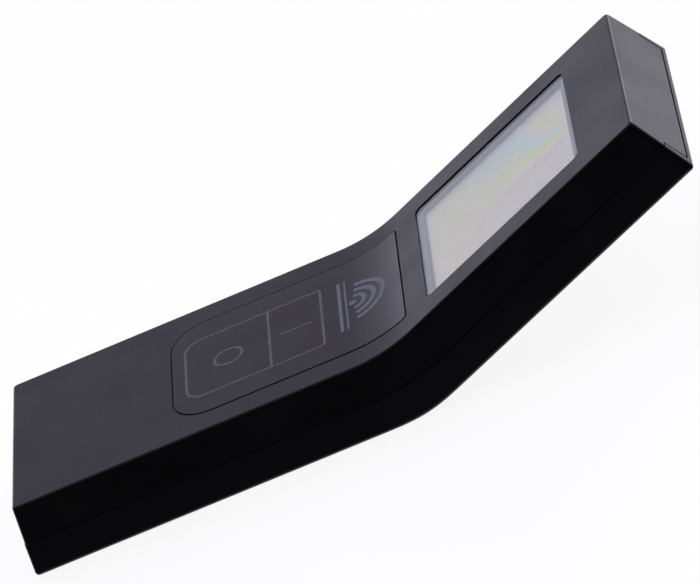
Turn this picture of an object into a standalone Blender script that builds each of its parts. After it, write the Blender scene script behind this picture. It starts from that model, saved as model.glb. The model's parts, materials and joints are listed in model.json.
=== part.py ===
"""Hand-held Geiger counter: a slim bent case with a two-key membrane keypad and a display window.

All sizes are in metres. Every piece is drawn in the case's straight layout: x runs along the case
from the handle end, y across it, and z up from the underside, as if the case were not bent.
handle_frame places that layout in the world. head_frame is the same layout carried round the bend.
Pieces that cross the bend are drawn straight and then bent point by point.
"""

import math

import bmesh
import bpy
from mathutils import Matrix, Vector

MM = 0.001
GAP = 0.3 * MM

# Case outline, measured along the top face.
START = -0.45 * MM
LENGTH = 191.0 * MM
WIDTH = 67.7 * MM
THICK = 19.8 * MM
BEND = math.radians(22.34)
BEND_START = 94.0 * MM
BEND_RADIUS = 47.4 * MM
BEND_END = BEND_START + BEND_RADIUS * BEND
BEND_STEPS = 8
UNDERSIDE_FULLNESS = 0.48 * MM
CENTRE_X = 95.88 * MM

# Walls: they lean outward from the top face's outline, and the halves meet at the parting.
WALL = 2.0 * MM
PARTING_DEPTH = 10.3 * MM
PARTING_Z = THICK - PARTING_DEPTH
TOP_FLARE = 1.2 * MM
HEAD_FLARE = 1.5 * MM
RIM_FLARE = 1.38 * MM
BASE_FLARE = 2.3 * MM
TOP_EDGE = 0.7 * MM
BASE_EDGE = 1.2 * MM
CORNER = 1.3 * MM
LIP_HEIGHT = 1.5 * MM
LIP_OUTSET = -1.1 * MM
LIP_INSET = -2.1 * MM
LIP_ROOT_Z = PARTING_Z - 1.8 * MM

# The top shell's tongue, which closes a cut-out in the bottom shell's head end.
TONGUE_HALF = 32.5 * MM
TONGUE_FOOT_Z = 2.4 * MM
TONGUE_INNER_X = 190.6 * MM
TONGUE_GAP = 0.35 * MM

# Keypad.
PAD_START = 45.5 * MM
PAD_END = 111.6 * MM
PAD_HALF = 24.6 * MM
PAD_ROUND = 10.5 * MM
PAD_SQUARE = 1.2 * MM
PAD_TOP_Z = THICK + 0.2 * MM
PAD_FILM = 0.5 * MM
PAD_RECESS = 0.6 * MM
PAD_GAP = 0.4 * MM
KEYS_START = 49.3 * MM
KEYS_SPLIT = 73.0 * MM
KEYS_END = 87.9 * MM
KEYS_HALF = 15.4 * MM
KEY_ROUND = 5.0 * MM
KEY_SQUARE = 1.0 * MM
KEY_THICK = 0.6 * MM
POCKET_MARGIN = 0.7 * MM
POCKET_FLOOR_Z = THICK - 2.4 * MM
POCKET_SEAT_Z = THICK - 3.8 * MM
CIRCUIT_Z = THICK - 2.2 * MM
CIRCUIT_THICK = 0.3 * MM
DOME_RADIUS = 5.0 * MM
DOME_RISE = 0.9 * MM
DOME_SHEET = 0.2 * MM
DOME_Z = THICK - 1.6 * MM
TAIL_X = 85.0 * MM
TAIL_HALF = 5.0 * MM
TAIL_FOOT_Z = 8.6 * MM

# Display window and what is under it.
WINDOW_START = 119.3 * MM
WINDOW_END = 173.2 * MM
WINDOW_HALF = 24.6 * MM
WINDOW_ROUND = 1.8 * MM
WINDOW_GAP = 0.25 * MM
LENS_SINK = 0.35 * MM
LENS_THICK = 1.0 * MM
BEZEL_TOP_Z = THICK - 1.5 * MM
BEZEL_PLATE = 0.5 * MM
BEZEL_FOOT_Z = THICK - 6.4 * MM
BEZEL_BORDER = 1.5 * MM
BEZEL_SKIRT = 0.8 * MM
LCD_TOP_Z = THICK - 2.3 * MM
LCD_GLASS = 0.95 * MM
DISPLAY_BOARD_Z = THICK - 7.8 * MM
DISPLAY_BOARD_START = 114.3 * MM
DISPLAY_BOARD_END = 177.2 * MM
DISPLAY_BOARD_HALF = 23.8 * MM
DISPLAY_SCREW_X = (116.8 * MM, 175.4 * MM)
DISPLAY_SCREW_Y = 20.0 * MM

# Case screws, driven from the underside.
CASE_SCREW_X = (45.0 * MM, 170.0 * MM)
CASE_SCREW_Y = 29.0 * MM
PILLAR_RADIUS = 4.0 * MM
PILLAR_TOP_Z = PARTING_Z - 1.7 * MM
COUNTERBORE_RADIUS = 2.95 * MM
SEAT_Z = 4.0 * MM
BOSS_RADIUS = 3.2 * MM
BOSS_FOOT_Z = PILLAR_TOP_Z + GAP
BOSS_HOLE = 1.6 * MM
BOSS_HOLE_TOP_Z = THICK - 4.0 * MM

# Boards.
BOARD = 1.2 * MM
MAIN_BOARD_Z = 5.4 * MM
MAIN_BOARD_START = 43.0 * MM
MAIN_BOARD_END = 97.0 * MM
MAIN_BOARD_HALF = 24.0 * MM
MAIN_SCREW_X = 60.0 * MM
MAIN_SCREW_Y = 21.0 * MM
TUBE_BOARD_Z = 4.6 * MM
TUBE_BOARD_START = 118.0 * MM
TUBE_BOARD_END = 189.5 * MM
TUBE_BOARD_HALF = 24.5 * MM
TUBE_SCREW_X = 142.0 * MM
TUBE_SCREW_Y = 21.0 * MM
POST_RADIUS = 2.6 * MM
POST_HOLE = 1.25 * MM

# Counting tube, lying across the head end.
TUBE_X = 183.2 * MM
TUBE_Z = 11.6 * MM
TUBE_RADIUS = 5.0 * MM
TUBE_HALF = 24.0 * MM
CAP_LENGTH = 3.2 * MM
CLIP_Y = 20.0 * MM

# Battery compartment: two AA cells lying across the handle end.
CELL_RADIUS = 7.25 * MM
CELL_HALF = 25.25 * MM
CELL_Z = 9.5 * MM
CELL_X = (11.2 * MM, 27.4 * MM)
CELL_SHIFT = 2.1 * MM
COMPARTMENT_HALF = 28.2 * MM
COMPARTMENT_END = 38.0 * MM
COMPARTMENT_TOP_Z = 13.9 * MM
COMPARTMENT_WALL = 2.4 * MM
CONTACT_Y = 27.6 * MM
CONTACT_SHEET = 0.3 * MM
DOOR_END = 37.5 * MM
DOOR_HALF = 28.0 * MM
DOOR_THICK = 1.8 * MM
RAIL_REACH = 1.2 * MM
RAIL_Z = (1.0 * MM, 1.7 * MM)
GROOVE_Z = (0.7 * MM, 2.05 * MM)

ROUND = 24
SMALL_ROUND = 16


# ---------------------------------------------------------------- the bend


def bent(x, y, z):
    """A point of the straight layout, carried round the bend."""
    turn = min(max((x - BEND_START) / BEND_RADIUS, 0.0), BEND)
    beyond = max(x - BEND_END, 0.0)
    depth = THICK - z
    below = max(depth - PARTING_DEPTH, 0.0) / (THICK - PARTING_DEPTH)
    depth += UNDERSIDE_FULLNESS * below * math.sin(math.pi * turn / BEND) ** 2
    radius = BEND_RADIUS + depth
    along = min(x, BEND_START) + radius * math.sin(turn) + beyond * math.cos(turn)
    up = THICK + BEND_RADIUS - radius * math.cos(turn) + beyond * math.sin(turn)
    return Vector((along, y, up))


def apply_modifiers(piece):
    """Replaces the piece's mesh by its evaluated one."""
    bpy.context.view_layer.update()
    graph = bpy.context.evaluated_depsgraph_get()
    mesh = bpy.data.meshes.new_from_object(piece.evaluated_get(graph), depsgraph=graph)
    piece.modifiers.clear()
    piece.data = mesh


def bend_piece(piece):
    """Cuts the straight mesh at steps across the bend, then carries its points round it."""
    apply_modifiers(piece)
    piece.data.transform(Matrix.Translation(piece.location))
    piece.location = (0.0, 0.0, 0.0)
    shape = bmesh.new()
    shape.from_mesh(piece.data)
    for step in range(BEND_STEPS + 1):
        x = BEND_START + (BEND_END - BEND_START) * step / BEND_STEPS
        everything = shape.verts[:] + shape.edges[:] + shape.faces[:]
        bmesh.ops.bisect_plane(shape, geom=everything, plane_co=(x, 0, 0), plane_no=(1, 0, 0))
    for vert in shape.verts:
        vert.co = bent(*vert.co)
    shape.to_mesh(piece.data)
    shape.free()


# ---------------------------------------------------------------- scene, materials


def clear_scene():
    for item in list(bpy.data.objects):
        bpy.data.objects.remove(item, do_unlink=True)


def new_collection(name):
    collection = bpy.data.collections.new(name)
    bpy.context.scene.collection.children.link(collection)
    return collection


def new_frame(name, location, turn, parent=None):
    frame = bpy.data.objects.new(name, None)
    frame.location = location
    frame.rotation_euler = (0.0, turn, 0.0)
    frame.parent = parent
    PIECES.objects.link(frame)
    return frame


def material(name, colour, roughness, metallic=0.0, transmission=0.0):
    made = bpy.data.materials.new(name)
    made.use_nodes = True
    shader = made.node_tree.nodes["Principled BSDF"]
    shader.inputs["Base Color"].default_value = (*colour, 1.0)
    shader.inputs["Roughness"].default_value = roughness
    shader.inputs["Metallic"].default_value = metallic
    shader.inputs["Transmission Weight"].default_value = transmission
    return made


clear_scene()
PIECES = new_collection("geiger_counter")
CUTTERS = new_collection("cutters")
HANDLE = new_frame("handle_frame", (-CENTRE_X, 0.0, 0.0), 0.0)
HEAD_TURN = Matrix.Rotation(-BEND, 3, "Y")
HEAD_SHIFT = bent(BEND_END, 0.0, THICK) - HEAD_TURN @ Vector((BEND_END, 0.0, THICK))
HEAD = new_frame("head_frame", HEAD_SHIFT, -BEND, HANDLE)

CASE = material("case_black", (0.018, 0.018, 0.021), 0.55)
FILM = material("keypad_film", (0.035, 0.035, 0.041), 0.4)
CLEAR = material("window_clear", (0.95, 0.95, 0.95), 0.05, transmission=0.9)
BEZEL_GREY = material("bezel_grey", (0.42, 0.42, 0.43), 0.5)
LCD_SILVER = material("lcd_silver", (0.55, 0.55, 0.55), 0.2)
LCD_CLEAR = material("lcd_glass", (0.6, 0.6, 0.6), 0.1, transmission=0.5)
ZEBRA = material("zebra_rubber", (0.7, 0.35, 0.35), 0.7)
LAMINATE = material("board_green", (0.02, 0.16, 0.06), 0.45)
STEEL = material("steel", (0.55, 0.55, 0.57), 0.3, metallic=1.0)
TUBE_STEEL = material("tube_steel", (0.5, 0.5, 0.52), 0.35, metallic=1.0)
BRASS = material("brass", (0.75, 0.55, 0.22), 0.3, metallic=1.0)
NICKEL = material("nickel", (0.7, 0.68, 0.64), 0.25, metallic=1.0)
POLYESTER = material("circuit_film", (0.5, 0.55, 0.5), 0.35)
COMPONENT = material("component_black", (0.02, 0.02, 0.02), 0.45)
CONNECTOR = material("connector_white", (0.75, 0.73, 0.66), 0.5)
FERRITE = material("ferrite", (0.06, 0.06, 0.065), 0.6)
CERAMIC = material("ceramic_blue", (0.05, 0.16, 0.4), 0.4)
CELL_JACKET = material("cell_jacket", (0.12, 0.13, 0.15), 0.35)
RED_WIRE = material("wire_red", (0.5, 0.02, 0.02), 0.45)
BLACK_WIRE = material("wire_black", (0.015, 0.015, 0.015), 0.45)


# ---------------------------------------------------------------- shapes


def place(shape, name, finish, frame, origin=(0.0, 0.0, 0.0)):
    """Makes an object of a bmesh drawn in a frame's layout, with the object's origin where asked."""
    bmesh.ops.translate(shape, vec=-Vector(origin), verts=shape.verts)
    bmesh.ops.recalc_face_normals(shape, faces=shape.faces)
    mesh = bpy.data.meshes.new(name)
    shape.to_mesh(mesh)
    shape.free()
    mesh.materials.append(finish)
    piece = bpy.data.objects.new(name, mesh)
    piece.parent = frame
    piece.location = origin
    PIECES.objects.link(piece)
    return piece


def box(name, x, y, z, finish=CASE, frame=HANDLE):
    """A box between the given pairs of x, y and z."""
    low = Vector((x[0], y[0], z[0]))
    high = Vector((x[1], y[1], z[1]))
    middle = (low + high) / 2
    shape = bmesh.new()
    bmesh.ops.create_cube(shape, size=1.0, matrix=Matrix.Diagonal((*(high - low), 1.0)))
    bmesh.ops.translate(shape, vec=middle, verts=shape.verts)
    return place(shape, name, finish, frame, middle)


def rod(name, centre, radius, z, finish=CASE, frame=HANDLE, sides=ROUND):
    """An upright cylinder at the given (x, y), between two heights."""
    shape = bmesh.new()
    bmesh.ops.create_cone(
        shape, cap_ends=True, segments=sides, radius1=radius, radius2=radius, depth=z[1] - z[0]
    )
    middle = Vector((centre[0], centre[1], (z[0] + z[1]) / 2))
    bmesh.ops.translate(shape, vec=middle, verts=shape.verts)
    return place(shape, name, finish, frame, middle)


def outline_block(name, z, grow, head_grow=None, corner=0.0, edge=0.0, edge_at_top=True):
    """A block with the case's outline, grown by one amount at its foot and by another at its top.

    The head end grows by head_grow instead, where that is given.
    """
    head_grow = head_grow or grow
    shape = bmesh.new()
    bmesh.ops.create_cube(shape, size=2.0)
    for vert in shape.verts:
        level = 1 if vert.co.z > 0 else 0
        vert.co.x = LENGTH + head_grow[level] if vert.co.x > 0 else START - grow[level]
        vert.co.y *= WIDTH / 2 + grow[level]
        vert.co.z = z[level]
    middle_z = (z[0] + z[1]) / 2
    if corner:
        upright = [e for e in shape.edges if abs(e.verts[0].co.z - e.verts[1].co.z) > 1e-6]
        bmesh.ops.bevel(shape, geom=upright, offset=corner, segments=3, profile=0.5, affect="EDGES")
    if edge:
        rim = [
            e
            for e in shape.edges
            if all((v.co.z > middle_z) == edge_at_top for v in e.verts)
        ]
        bmesh.ops.bevel(shape, geom=rim, offset=edge, segments=3, profile=0.5, affect="EDGES")
    return place(shape, name, CASE, HANDLE)


def corner_arc(centre, radius, start):
    """Points of a quarter circle about a corner's centre, from the given angle."""
    if radius == 0.0:
        return [centre]
    steps = max(2, round(radius / (1.2 * MM)) + 1)
    angles = [start + math.pi / 2 * i / steps for i in range(steps + 1)]
    return [(centre[0] + radius * math.cos(a), centre[1] + radius * math.sin(a)) for a in angles]


def plate(name, x, half, z, rounds, finish, frame=HANDLE, y_centre=0.0):
    """A flat plate with one radius at its handle-end corners and another at its head-end corners."""
    near, far = rounds
    points = []
    points += corner_arc((x[1] - far, y_centre + half - far), far, 0.0)
    points += corner_arc((x[0] + near, y_centre + half - near), near, math.pi / 2)
    points += corner_arc((x[0] + near, y_centre - half + near), near, math.pi)
    points += corner_arc((x[1] - far, y_centre - half + far), far, 3 * math.pi / 2)
    middle = Vector(((x[0] + x[1]) / 2, y_centre, (z[0] + z[1]) / 2))
    outline = bpy.data.curves.new(name, "CURVE")
    outline.dimensions = "2D"
    outline.fill_mode = "BOTH"
    outline.extrude = (z[1] - z[0]) / 2
    spline = outline.splines.new("POLY")
    spline.points.add(len(points) - 1)
    for point, (px, py) in zip(spline.points, points):
        point.co = (px - middle.x, py - middle.y, 0.0, 1.0)
    spline.use_cyclic_u = True
    drawn = bpy.data.objects.new(name + "_outline", outline)
    PIECES.objects.link(drawn)
    return mesh_of_curve(drawn, name, finish, frame, middle)


def mesh_of_curve(drawn, name, finish, frame, location=(0.0, 0.0, 0.0)):
    """Turns a curve object into a mesh piece with welded caps."""
    bpy.context.view_layer.update()
    graph = bpy.context.evaluated_depsgraph_get()
    mesh = bpy.data.meshes.new_from_object(drawn.evaluated_get(graph), depsgraph=graph)
    bpy.data.objects.remove(drawn, do_unlink=True)
    shape = bmesh.new()
    shape.from_mesh(mesh)
    bmesh.ops.remove_doubles(shape, verts=shape.verts, dist=1e-6)
    bmesh.ops.recalc_face_normals(shape, faces=shape.faces)
    shape.to_mesh(mesh)
    shape.free()
    mesh.materials.clear()
    mesh.materials.append(finish)
    piece = bpy.data.objects.new(name, mesh)
    piece.parent = frame
    piece.location = location
    PIECES.objects.link(piece)
    return piece


def turned(name, profile, finish, frame, location, tilt=(0.0, 0.0, 0.0), sides=SMALL_ROUND):
    """A piece turned about its own z axis from (radius, height) points, listed from top to bottom."""
    shape = bmesh.new()
    verts = [shape.verts.new((radius, 0.0, height)) for radius, height in profile]
    for upper, lower in zip(verts, verts[1:]):
        shape.edges.new((upper, lower))
    mesh = bpy.data.meshes.new(name)
    shape.to_mesh(mesh)
    shape.free()
    mesh.materials.append(finish)
    piece = bpy.data.objects.new(name, mesh)
    piece.parent = frame
    piece.location = location
    piece.rotation_euler = tilt
    PIECES.objects.link(piece)
    screw = piece.modifiers.new("turn", "SCREW")
    screw.steps = sides
    screw.render_steps = sides
    screw.use_merge_vertices = True
    screw.merge_threshold = 1e-6
    return piece


def wire(name, points, radius, finish, frame, closed_form=None):
    """A wire along a smooth route through the points, or along points that follow a formula."""
    route = closed_form or smooth_route(points)
    path = bpy.data.curves.new(name, "CURVE")
    path.dimensions = "3D"
    path.bevel_depth = radius
    path.bevel_resolution = 2
    path.use_fill_caps = True
    spline = path.splines.new("POLY")
    spline.points.add(len(route) - 1)
    for point, place_at in zip(spline.points, route):
        point.co = (*place_at, 1.0)
    drawn = bpy.data.objects.new(name + "_route", path)
    PIECES.objects.link(drawn)
    return mesh_of_curve(drawn, name, finish, frame)


def smooth_route(points, between=5):
    """Catmull-Rom points through the route's own points."""
    knots = [Vector(p) for p in points]
    ends = [2 * knots[0] - knots[1]] + knots + [2 * knots[-1] - knots[-2]]
    route = []
    for a, b, c, d in zip(ends, ends[1:], ends[2:], ends[3:]):
        for i in range(between):
            t = i / between
            route.append(
                0.5 * (2 * b + (c - a) * t + (2 * a - 5 * b + 4 * c - d) * t**2)
                + 0.5 * (3 * b - a - 3 * c + d) * t**3
            )
    route.append(knots[-1])
    return route


def combine(piece, operation, others):
    for other in others:
        boolean = piece.modifiers.new(other.name, "BOOLEAN")
        boolean.operation = operation
        boolean.solver = "EXACT"
        boolean.object = other
        if other.name in PIECES.objects:
            PIECES.objects.unlink(other)
            CUTTERS.objects.link(other)
        other.hide_render = True
        other.display_type = "WIRE"


def cut(piece, *cutters):
    combine(piece, "DIFFERENCE", cutters)


def join(piece, *additions):
    combine(piece, "UNION", additions)


def both_sides(half):
    return (-half, half)


# ---------------------------------------------------------------- case


def top_flare(z):
    """How far the top shell's wall stands out from the top face's outline at a height."""
    return TOP_FLARE * (THICK - z) / PARTING_DEPTH


def head_flare(z):
    """The same for the wall across the head end."""
    return HEAD_FLARE * (THICK - z) / PARTING_DEPTH


def case_screw_places():
    return [(x, y) for x in CASE_SCREW_X for y in both_sides(CASE_SCREW_Y)]


def make_top_shell():
    shell = outline_block(
        "top_shell",
        (PARTING_Z, THICK),
        (TOP_FLARE, 0.0),
        (HEAD_FLARE, 0.0),
        corner=CORNER,
        edge=TOP_EDGE,
    )
    ceiling = THICK - WALL
    open_z = PARTING_Z - 1.0 * MM
    cut(
        shell,
        outline_block(
            "top_cavity",
            (open_z, ceiling),
            (top_flare(open_z) - WALL, top_flare(ceiling) - WALL),
            (head_flare(open_z) - WALL, head_flare(ceiling) - WALL),
        ),
    )
    join(shell, make_tongue())
    seat_margin = 2.5 * MM
    join(
        shell,
        box(
            "keypad_seat",
            (KEYS_START - seat_margin, KEYS_END + seat_margin),
            both_sides(KEYS_HALF + seat_margin),
            (POCKET_SEAT_Z, ceiling + 0.5 * MM),
        ),
    )
    for index, at in enumerate(case_screw_places()):
        join(shell, rod(f"screw_boss_{index}", at, BOSS_RADIUS, (BOSS_FOOT_Z, ceiling + 0.5 * MM)))
        hole_z = (BOSS_FOOT_Z - MM, BOSS_HOLE_TOP_Z)
        cut(shell, rod(f"screw_boss_hole_{index}", at, BOSS_HOLE, hole_z))
    for index, at in enumerate(display_screw_places()):
        foot = DISPLAY_BOARD_Z + BOARD + GAP
        join(shell, rod(f"display_boss_{index}", at, 2.0 * MM, (foot, ceiling + 0.5 * MM), sides=16))
        cut(shell, rod(f"display_hole_{index}", at, MM, (foot - GAP, THICK - 2.5 * MM), sides=12))
    cut(
        shell,
        plate(
            "keypad_recess",
            (PAD_START - PAD_GAP, PAD_END + PAD_GAP),
            PAD_HALF + PAD_GAP,
            (THICK - PAD_RECESS, THICK + 1.0 * MM),
            (PAD_ROUND + PAD_GAP, PAD_SQUARE + PAD_GAP),
            CASE,
        ),
        plate(
            "key_pocket",
            (KEYS_START - POCKET_MARGIN, KEYS_END + POCKET_MARGIN),
            KEYS_HALF + POCKET_MARGIN,
            (POCKET_FLOOR_Z, THICK + 1.2 * MM),
            (KEY_ROUND, KEY_SQUARE),
            CASE,
        ),
        box(
            "tail_slot",
            (TAIL_X - 0.4 * MM, TAIL_X + CIRCUIT_THICK + 0.4 * MM),
            both_sides(TAIL_HALF + 0.5 * MM),
            (POCKET_SEAT_Z - 0.5 * MM, POCKET_FLOOR_Z + 0.5 * MM),
        ),
        plate(
            "window_opening",
            (WINDOW_START - WINDOW_GAP, WINDOW_END + WINDOW_GAP),
            WINDOW_HALF + WINDOW_GAP,
            (ceiling - 1.0 * MM, THICK + 1.0 * MM),
            (WINDOW_ROUND + WINDOW_GAP, WINDOW_ROUND + WINDOW_GAP),
            CASE,
        ),
    )
    bend_piece(shell)


def make_tongue():
    """The end wall's continuation below the parting, leaning out like the wall above it."""
    shape = bmesh.new()
    bmesh.ops.create_cube(shape, size=2.0)
    top_z = PARTING_Z + 1.0 * MM
    for vert in shape.verts:
        z = top_z if vert.co.z > 0 else TONGUE_FOOT_Z
        outer = LENGTH + head_flare(z) - 0.02 * MM
        vert.co.x = outer if vert.co.x > 0 else TONGUE_INNER_X
        vert.co.y *= TONGUE_HALF
        vert.co.z = z
    return place(shape, "tongue", CASE, HANDLE)


def bottom_block(name):
    """The bottom shell's outside; its head end is in one plane with the top shell's tongue."""
    return outline_block(
        name,
        (0.0, PARTING_Z - GAP),
        (BASE_FLARE, RIM_FLARE),
        (head_flare(0.0), head_flare(PARTING_Z - GAP)),
        corner=CORNER,
        edge=BASE_EDGE,
        edge_at_top=False,
    )


def make_bottom_shell():
    shell = bottom_block("bottom_shell")
    rim_z = PARTING_Z - GAP
    lip_z = rim_z + LIP_HEIGHT
    join(shell, outline_block("lip", (rim_z - 1.0 * MM, lip_z), (LIP_OUTSET, LIP_OUTSET)))
    cut(
        shell,
        outline_block("lip_cavity", (LIP_ROOT_Z, lip_z + 1.0 * MM), (LIP_INSET, LIP_INSET)),
        outline_block(
            "bottom_cavity",
            (WALL, LIP_ROOT_Z + 0.01 * MM),
            (BASE_FLARE - WALL, RIM_FLARE - WALL),
        ),
        box(
            "tongue_clearance",
            (TONGUE_INNER_X - GAP, LENGTH + 10.0 * MM),
            both_sides(TONGUE_HALF + TONGUE_GAP),
            (TONGUE_FOOT_Z - TONGUE_GAP, THICK),
        ),
    )
    add_battery_compartment(shell)
    add_board_posts(shell)
    for index, at in enumerate(case_screw_places()):
        join(shell, rod(f"pillar_{index}", at, PILLAR_RADIUS, (1.0 * MM, PILLAR_TOP_Z)))
        cut(
            shell,
            rod(f"boss_room_{index}", at, BOSS_RADIUS + GAP, (PILLAR_TOP_Z, THICK)),
            rod(f"counterbore_{index}", at, COUNTERBORE_RADIUS, (-1.0 * MM, SEAT_Z)),
            rod(f"screw_way_{index}", at, BOSS_HOLE, (SEAT_Z - 0.5 * MM, THICK), sides=16),
        )
    bend_piece(shell)


def add_battery_compartment(shell):
    outer = COMPARTMENT_HALF + COMPARTMENT_WALL
    wall_z = (WALL - 0.5 * MM, COMPARTMENT_TOP_Z)
    inner_x = (1.6 * MM, COMPARTMENT_END + 1.6 * MM)
    for side, low in (("near", -outer), ("far", COMPARTMENT_HALF)):
        join(
            shell,
            box(f"compartment_side_{side}", inner_x, (low, low + COMPARTMENT_WALL), wall_z),
        )
    join(
        shell,
        box("compartment_end", (COMPARTMENT_END, inner_x[1]), both_sides(outer - 0.5 * MM), wall_z),
    )
    door_room = DOOR_END + GAP
    cut(
        shell,
        box("door_opening", (-9.0 * MM, door_room), both_sides(DOOR_HALF + GAP), (-MM, 2.1 * MM)),
        box(
            "rail_groove",
            (-9.0 * MM, door_room),
            both_sides(DOOR_HALF + RAIL_REACH + GAP),
            GROOVE_Z,
        ),
    )


def add_board_posts(shell):
    main = [(MAIN_SCREW_X, y) for y in both_sides(MAIN_SCREW_Y)]
    tube = [(TUBE_SCREW_X, y) for y in both_sides(TUBE_SCREW_Y)]
    for places, board_z, name in ((main, MAIN_BOARD_Z, "main"), (tube, TUBE_BOARD_Z, "tube")):
        for index, at in enumerate(places):
            top = board_z - GAP
            join(shell, rod(f"{name}_post_{index}", at, POST_RADIUS, (MM, top), sides=16))
            cut(shell, rod(f"{name}_post_hole_{index}", at, POST_HOLE, (MM, THICK), sides=12))


def make_battery_door():
    """A flat door that slides off over the handle end, with a rail along each side."""
    door = bottom_block("battery_door")
    keep = box("door_block", (-9.0 * MM, DOOR_END), both_sides(DOOR_HALF), (-MM, DOOR_THICK))
    combine(door, "INTERSECT", [keep])
    rail_x = (2.0 * MM, DOOR_END - 2.0 * MM)
    join(door, box("door_rails", rail_x, both_sides(DOOR_HALF + RAIL_REACH), RAIL_Z))
    for index in range(5):
        start = (4.0 + 2.6 * index) * MM
        ridge = box(f"grip_{index}", (start, start + 1.2 * MM), both_sides(9.0 * MM), (-MM, 0.4 * MM))
        cut(door, ridge)
    apply_modifiers(door)


def make_case_screws():
    profile = [
        (0.0, 13.0 * MM),
        (0.9 * MM, 12.7 * MM),
        (1.3 * MM, 11.8 * MM),
        (1.3 * MM, 3.75 * MM),
        (2.6 * MM, 3.75 * MM),
        (2.6 * MM, 2.5 * MM),
        (2.0 * MM, 1.9 * MM),
        (0.0, 1.9 * MM),
    ]
    for index, (x, y) in enumerate(case_screw_places()):
        frame = HANDLE if x < BEND_START else HEAD
        turned(f"case_screw_{index + 1}", profile, STEEL, frame, (x, y, 0.0))


# ---------------------------------------------------------------- keypad


def make_keypad():
    overlay = plate(
        "keypad_overlay",
        (PAD_START, PAD_END),
        PAD_HALF,
        (PAD_TOP_Z - PAD_FILM, PAD_TOP_Z),
        (PAD_ROUND, PAD_SQUARE),
        FILM,
    )
    cut(
        overlay,
        plate(
            "key_opening",
            (KEYS_START - GAP / 2, KEYS_END + GAP / 2),
            KEYS_HALF + GAP / 2,
            (THICK - MM, THICK + MM),
            (KEY_ROUND + GAP / 2, KEY_SQUARE + GAP / 2),
            FILM,
        ),
    )
    bend_piece(overlay)
    key_z = (PAD_TOP_Z - KEY_THICK, PAD_TOP_Z)
    off_x = (KEYS_START + GAP / 2, KEYS_SPLIT - GAP / 2)
    on_x = (KEYS_SPLIT + GAP / 2, KEYS_END - GAP / 2)
    half = KEYS_HALF - GAP / 2
    plate("off_key", off_x, half, key_z, (KEY_ROUND - GAP / 2, 0.4 * MM), FILM)
    plate("on_key", on_x, half, key_z, (0.4 * MM, KEY_SQUARE - GAP / 2), FILM)
    for name, (low, high) in (("off_dome", off_x), ("on_dome", on_x)):
        turned(name, dome_profile(), NICKEL, HANDLE, ((low + high) / 2, 0.0, DOME_Z), sides=ROUND)
    circuit = plate(
        "keypad_circuit",
        (KEYS_START - 0.3 * MM, KEYS_END + 0.3 * MM),
        KEYS_HALF + 0.3 * MM,
        (CIRCUIT_Z, CIRCUIT_Z + CIRCUIT_THICK),
        (KEY_ROUND, KEY_SQUARE),
        POLYESTER,
    )
    join(
        circuit,
        box(
            "circuit_tail",
            (TAIL_X, TAIL_X + CIRCUIT_THICK),
            both_sides(TAIL_HALF),
            (TAIL_FOOT_Z, CIRCUIT_Z + CIRCUIT_THICK / 2),
        ),
    )
    socket = box(
        "tail_connector",
        (TAIL_X - 1.9 * MM, TAIL_X + 2.2 * MM),
        both_sides(TAIL_HALF + 2.0 * MM),
        (MAIN_BOARD_Z + BOARD + GAP, 10.2 * MM),
        CONNECTOR,
    )
    mouth = box(
        "tail_mouth",
        (TAIL_X - GAP, TAIL_X + CIRCUIT_THICK + GAP),
        both_sides(TAIL_HALF + GAP),
        (TAIL_FOOT_Z - GAP, 11.0 * MM),
    )
    cut(socket, mouth)


def dome_profile():
    """A thin shallow dome standing on its rim."""
    steps = 5
    outer = []
    inner = []
    for i in range(steps + 1):
        share = i / steps
        outer.append((DOME_RADIUS * share, DOME_RISE * (1 - share**2)))
        inner.append(((DOME_RADIUS - 2 * DOME_SHEET) * share, (DOME_RISE - DOME_SHEET) * (1 - share**2)))
    return outer + inner[::-1]


# ---------------------------------------------------------------- display


def display_screw_places():
    return [(x, y) for x in DISPLAY_SCREW_X for y in both_sides(DISPLAY_SCREW_Y)]


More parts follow.
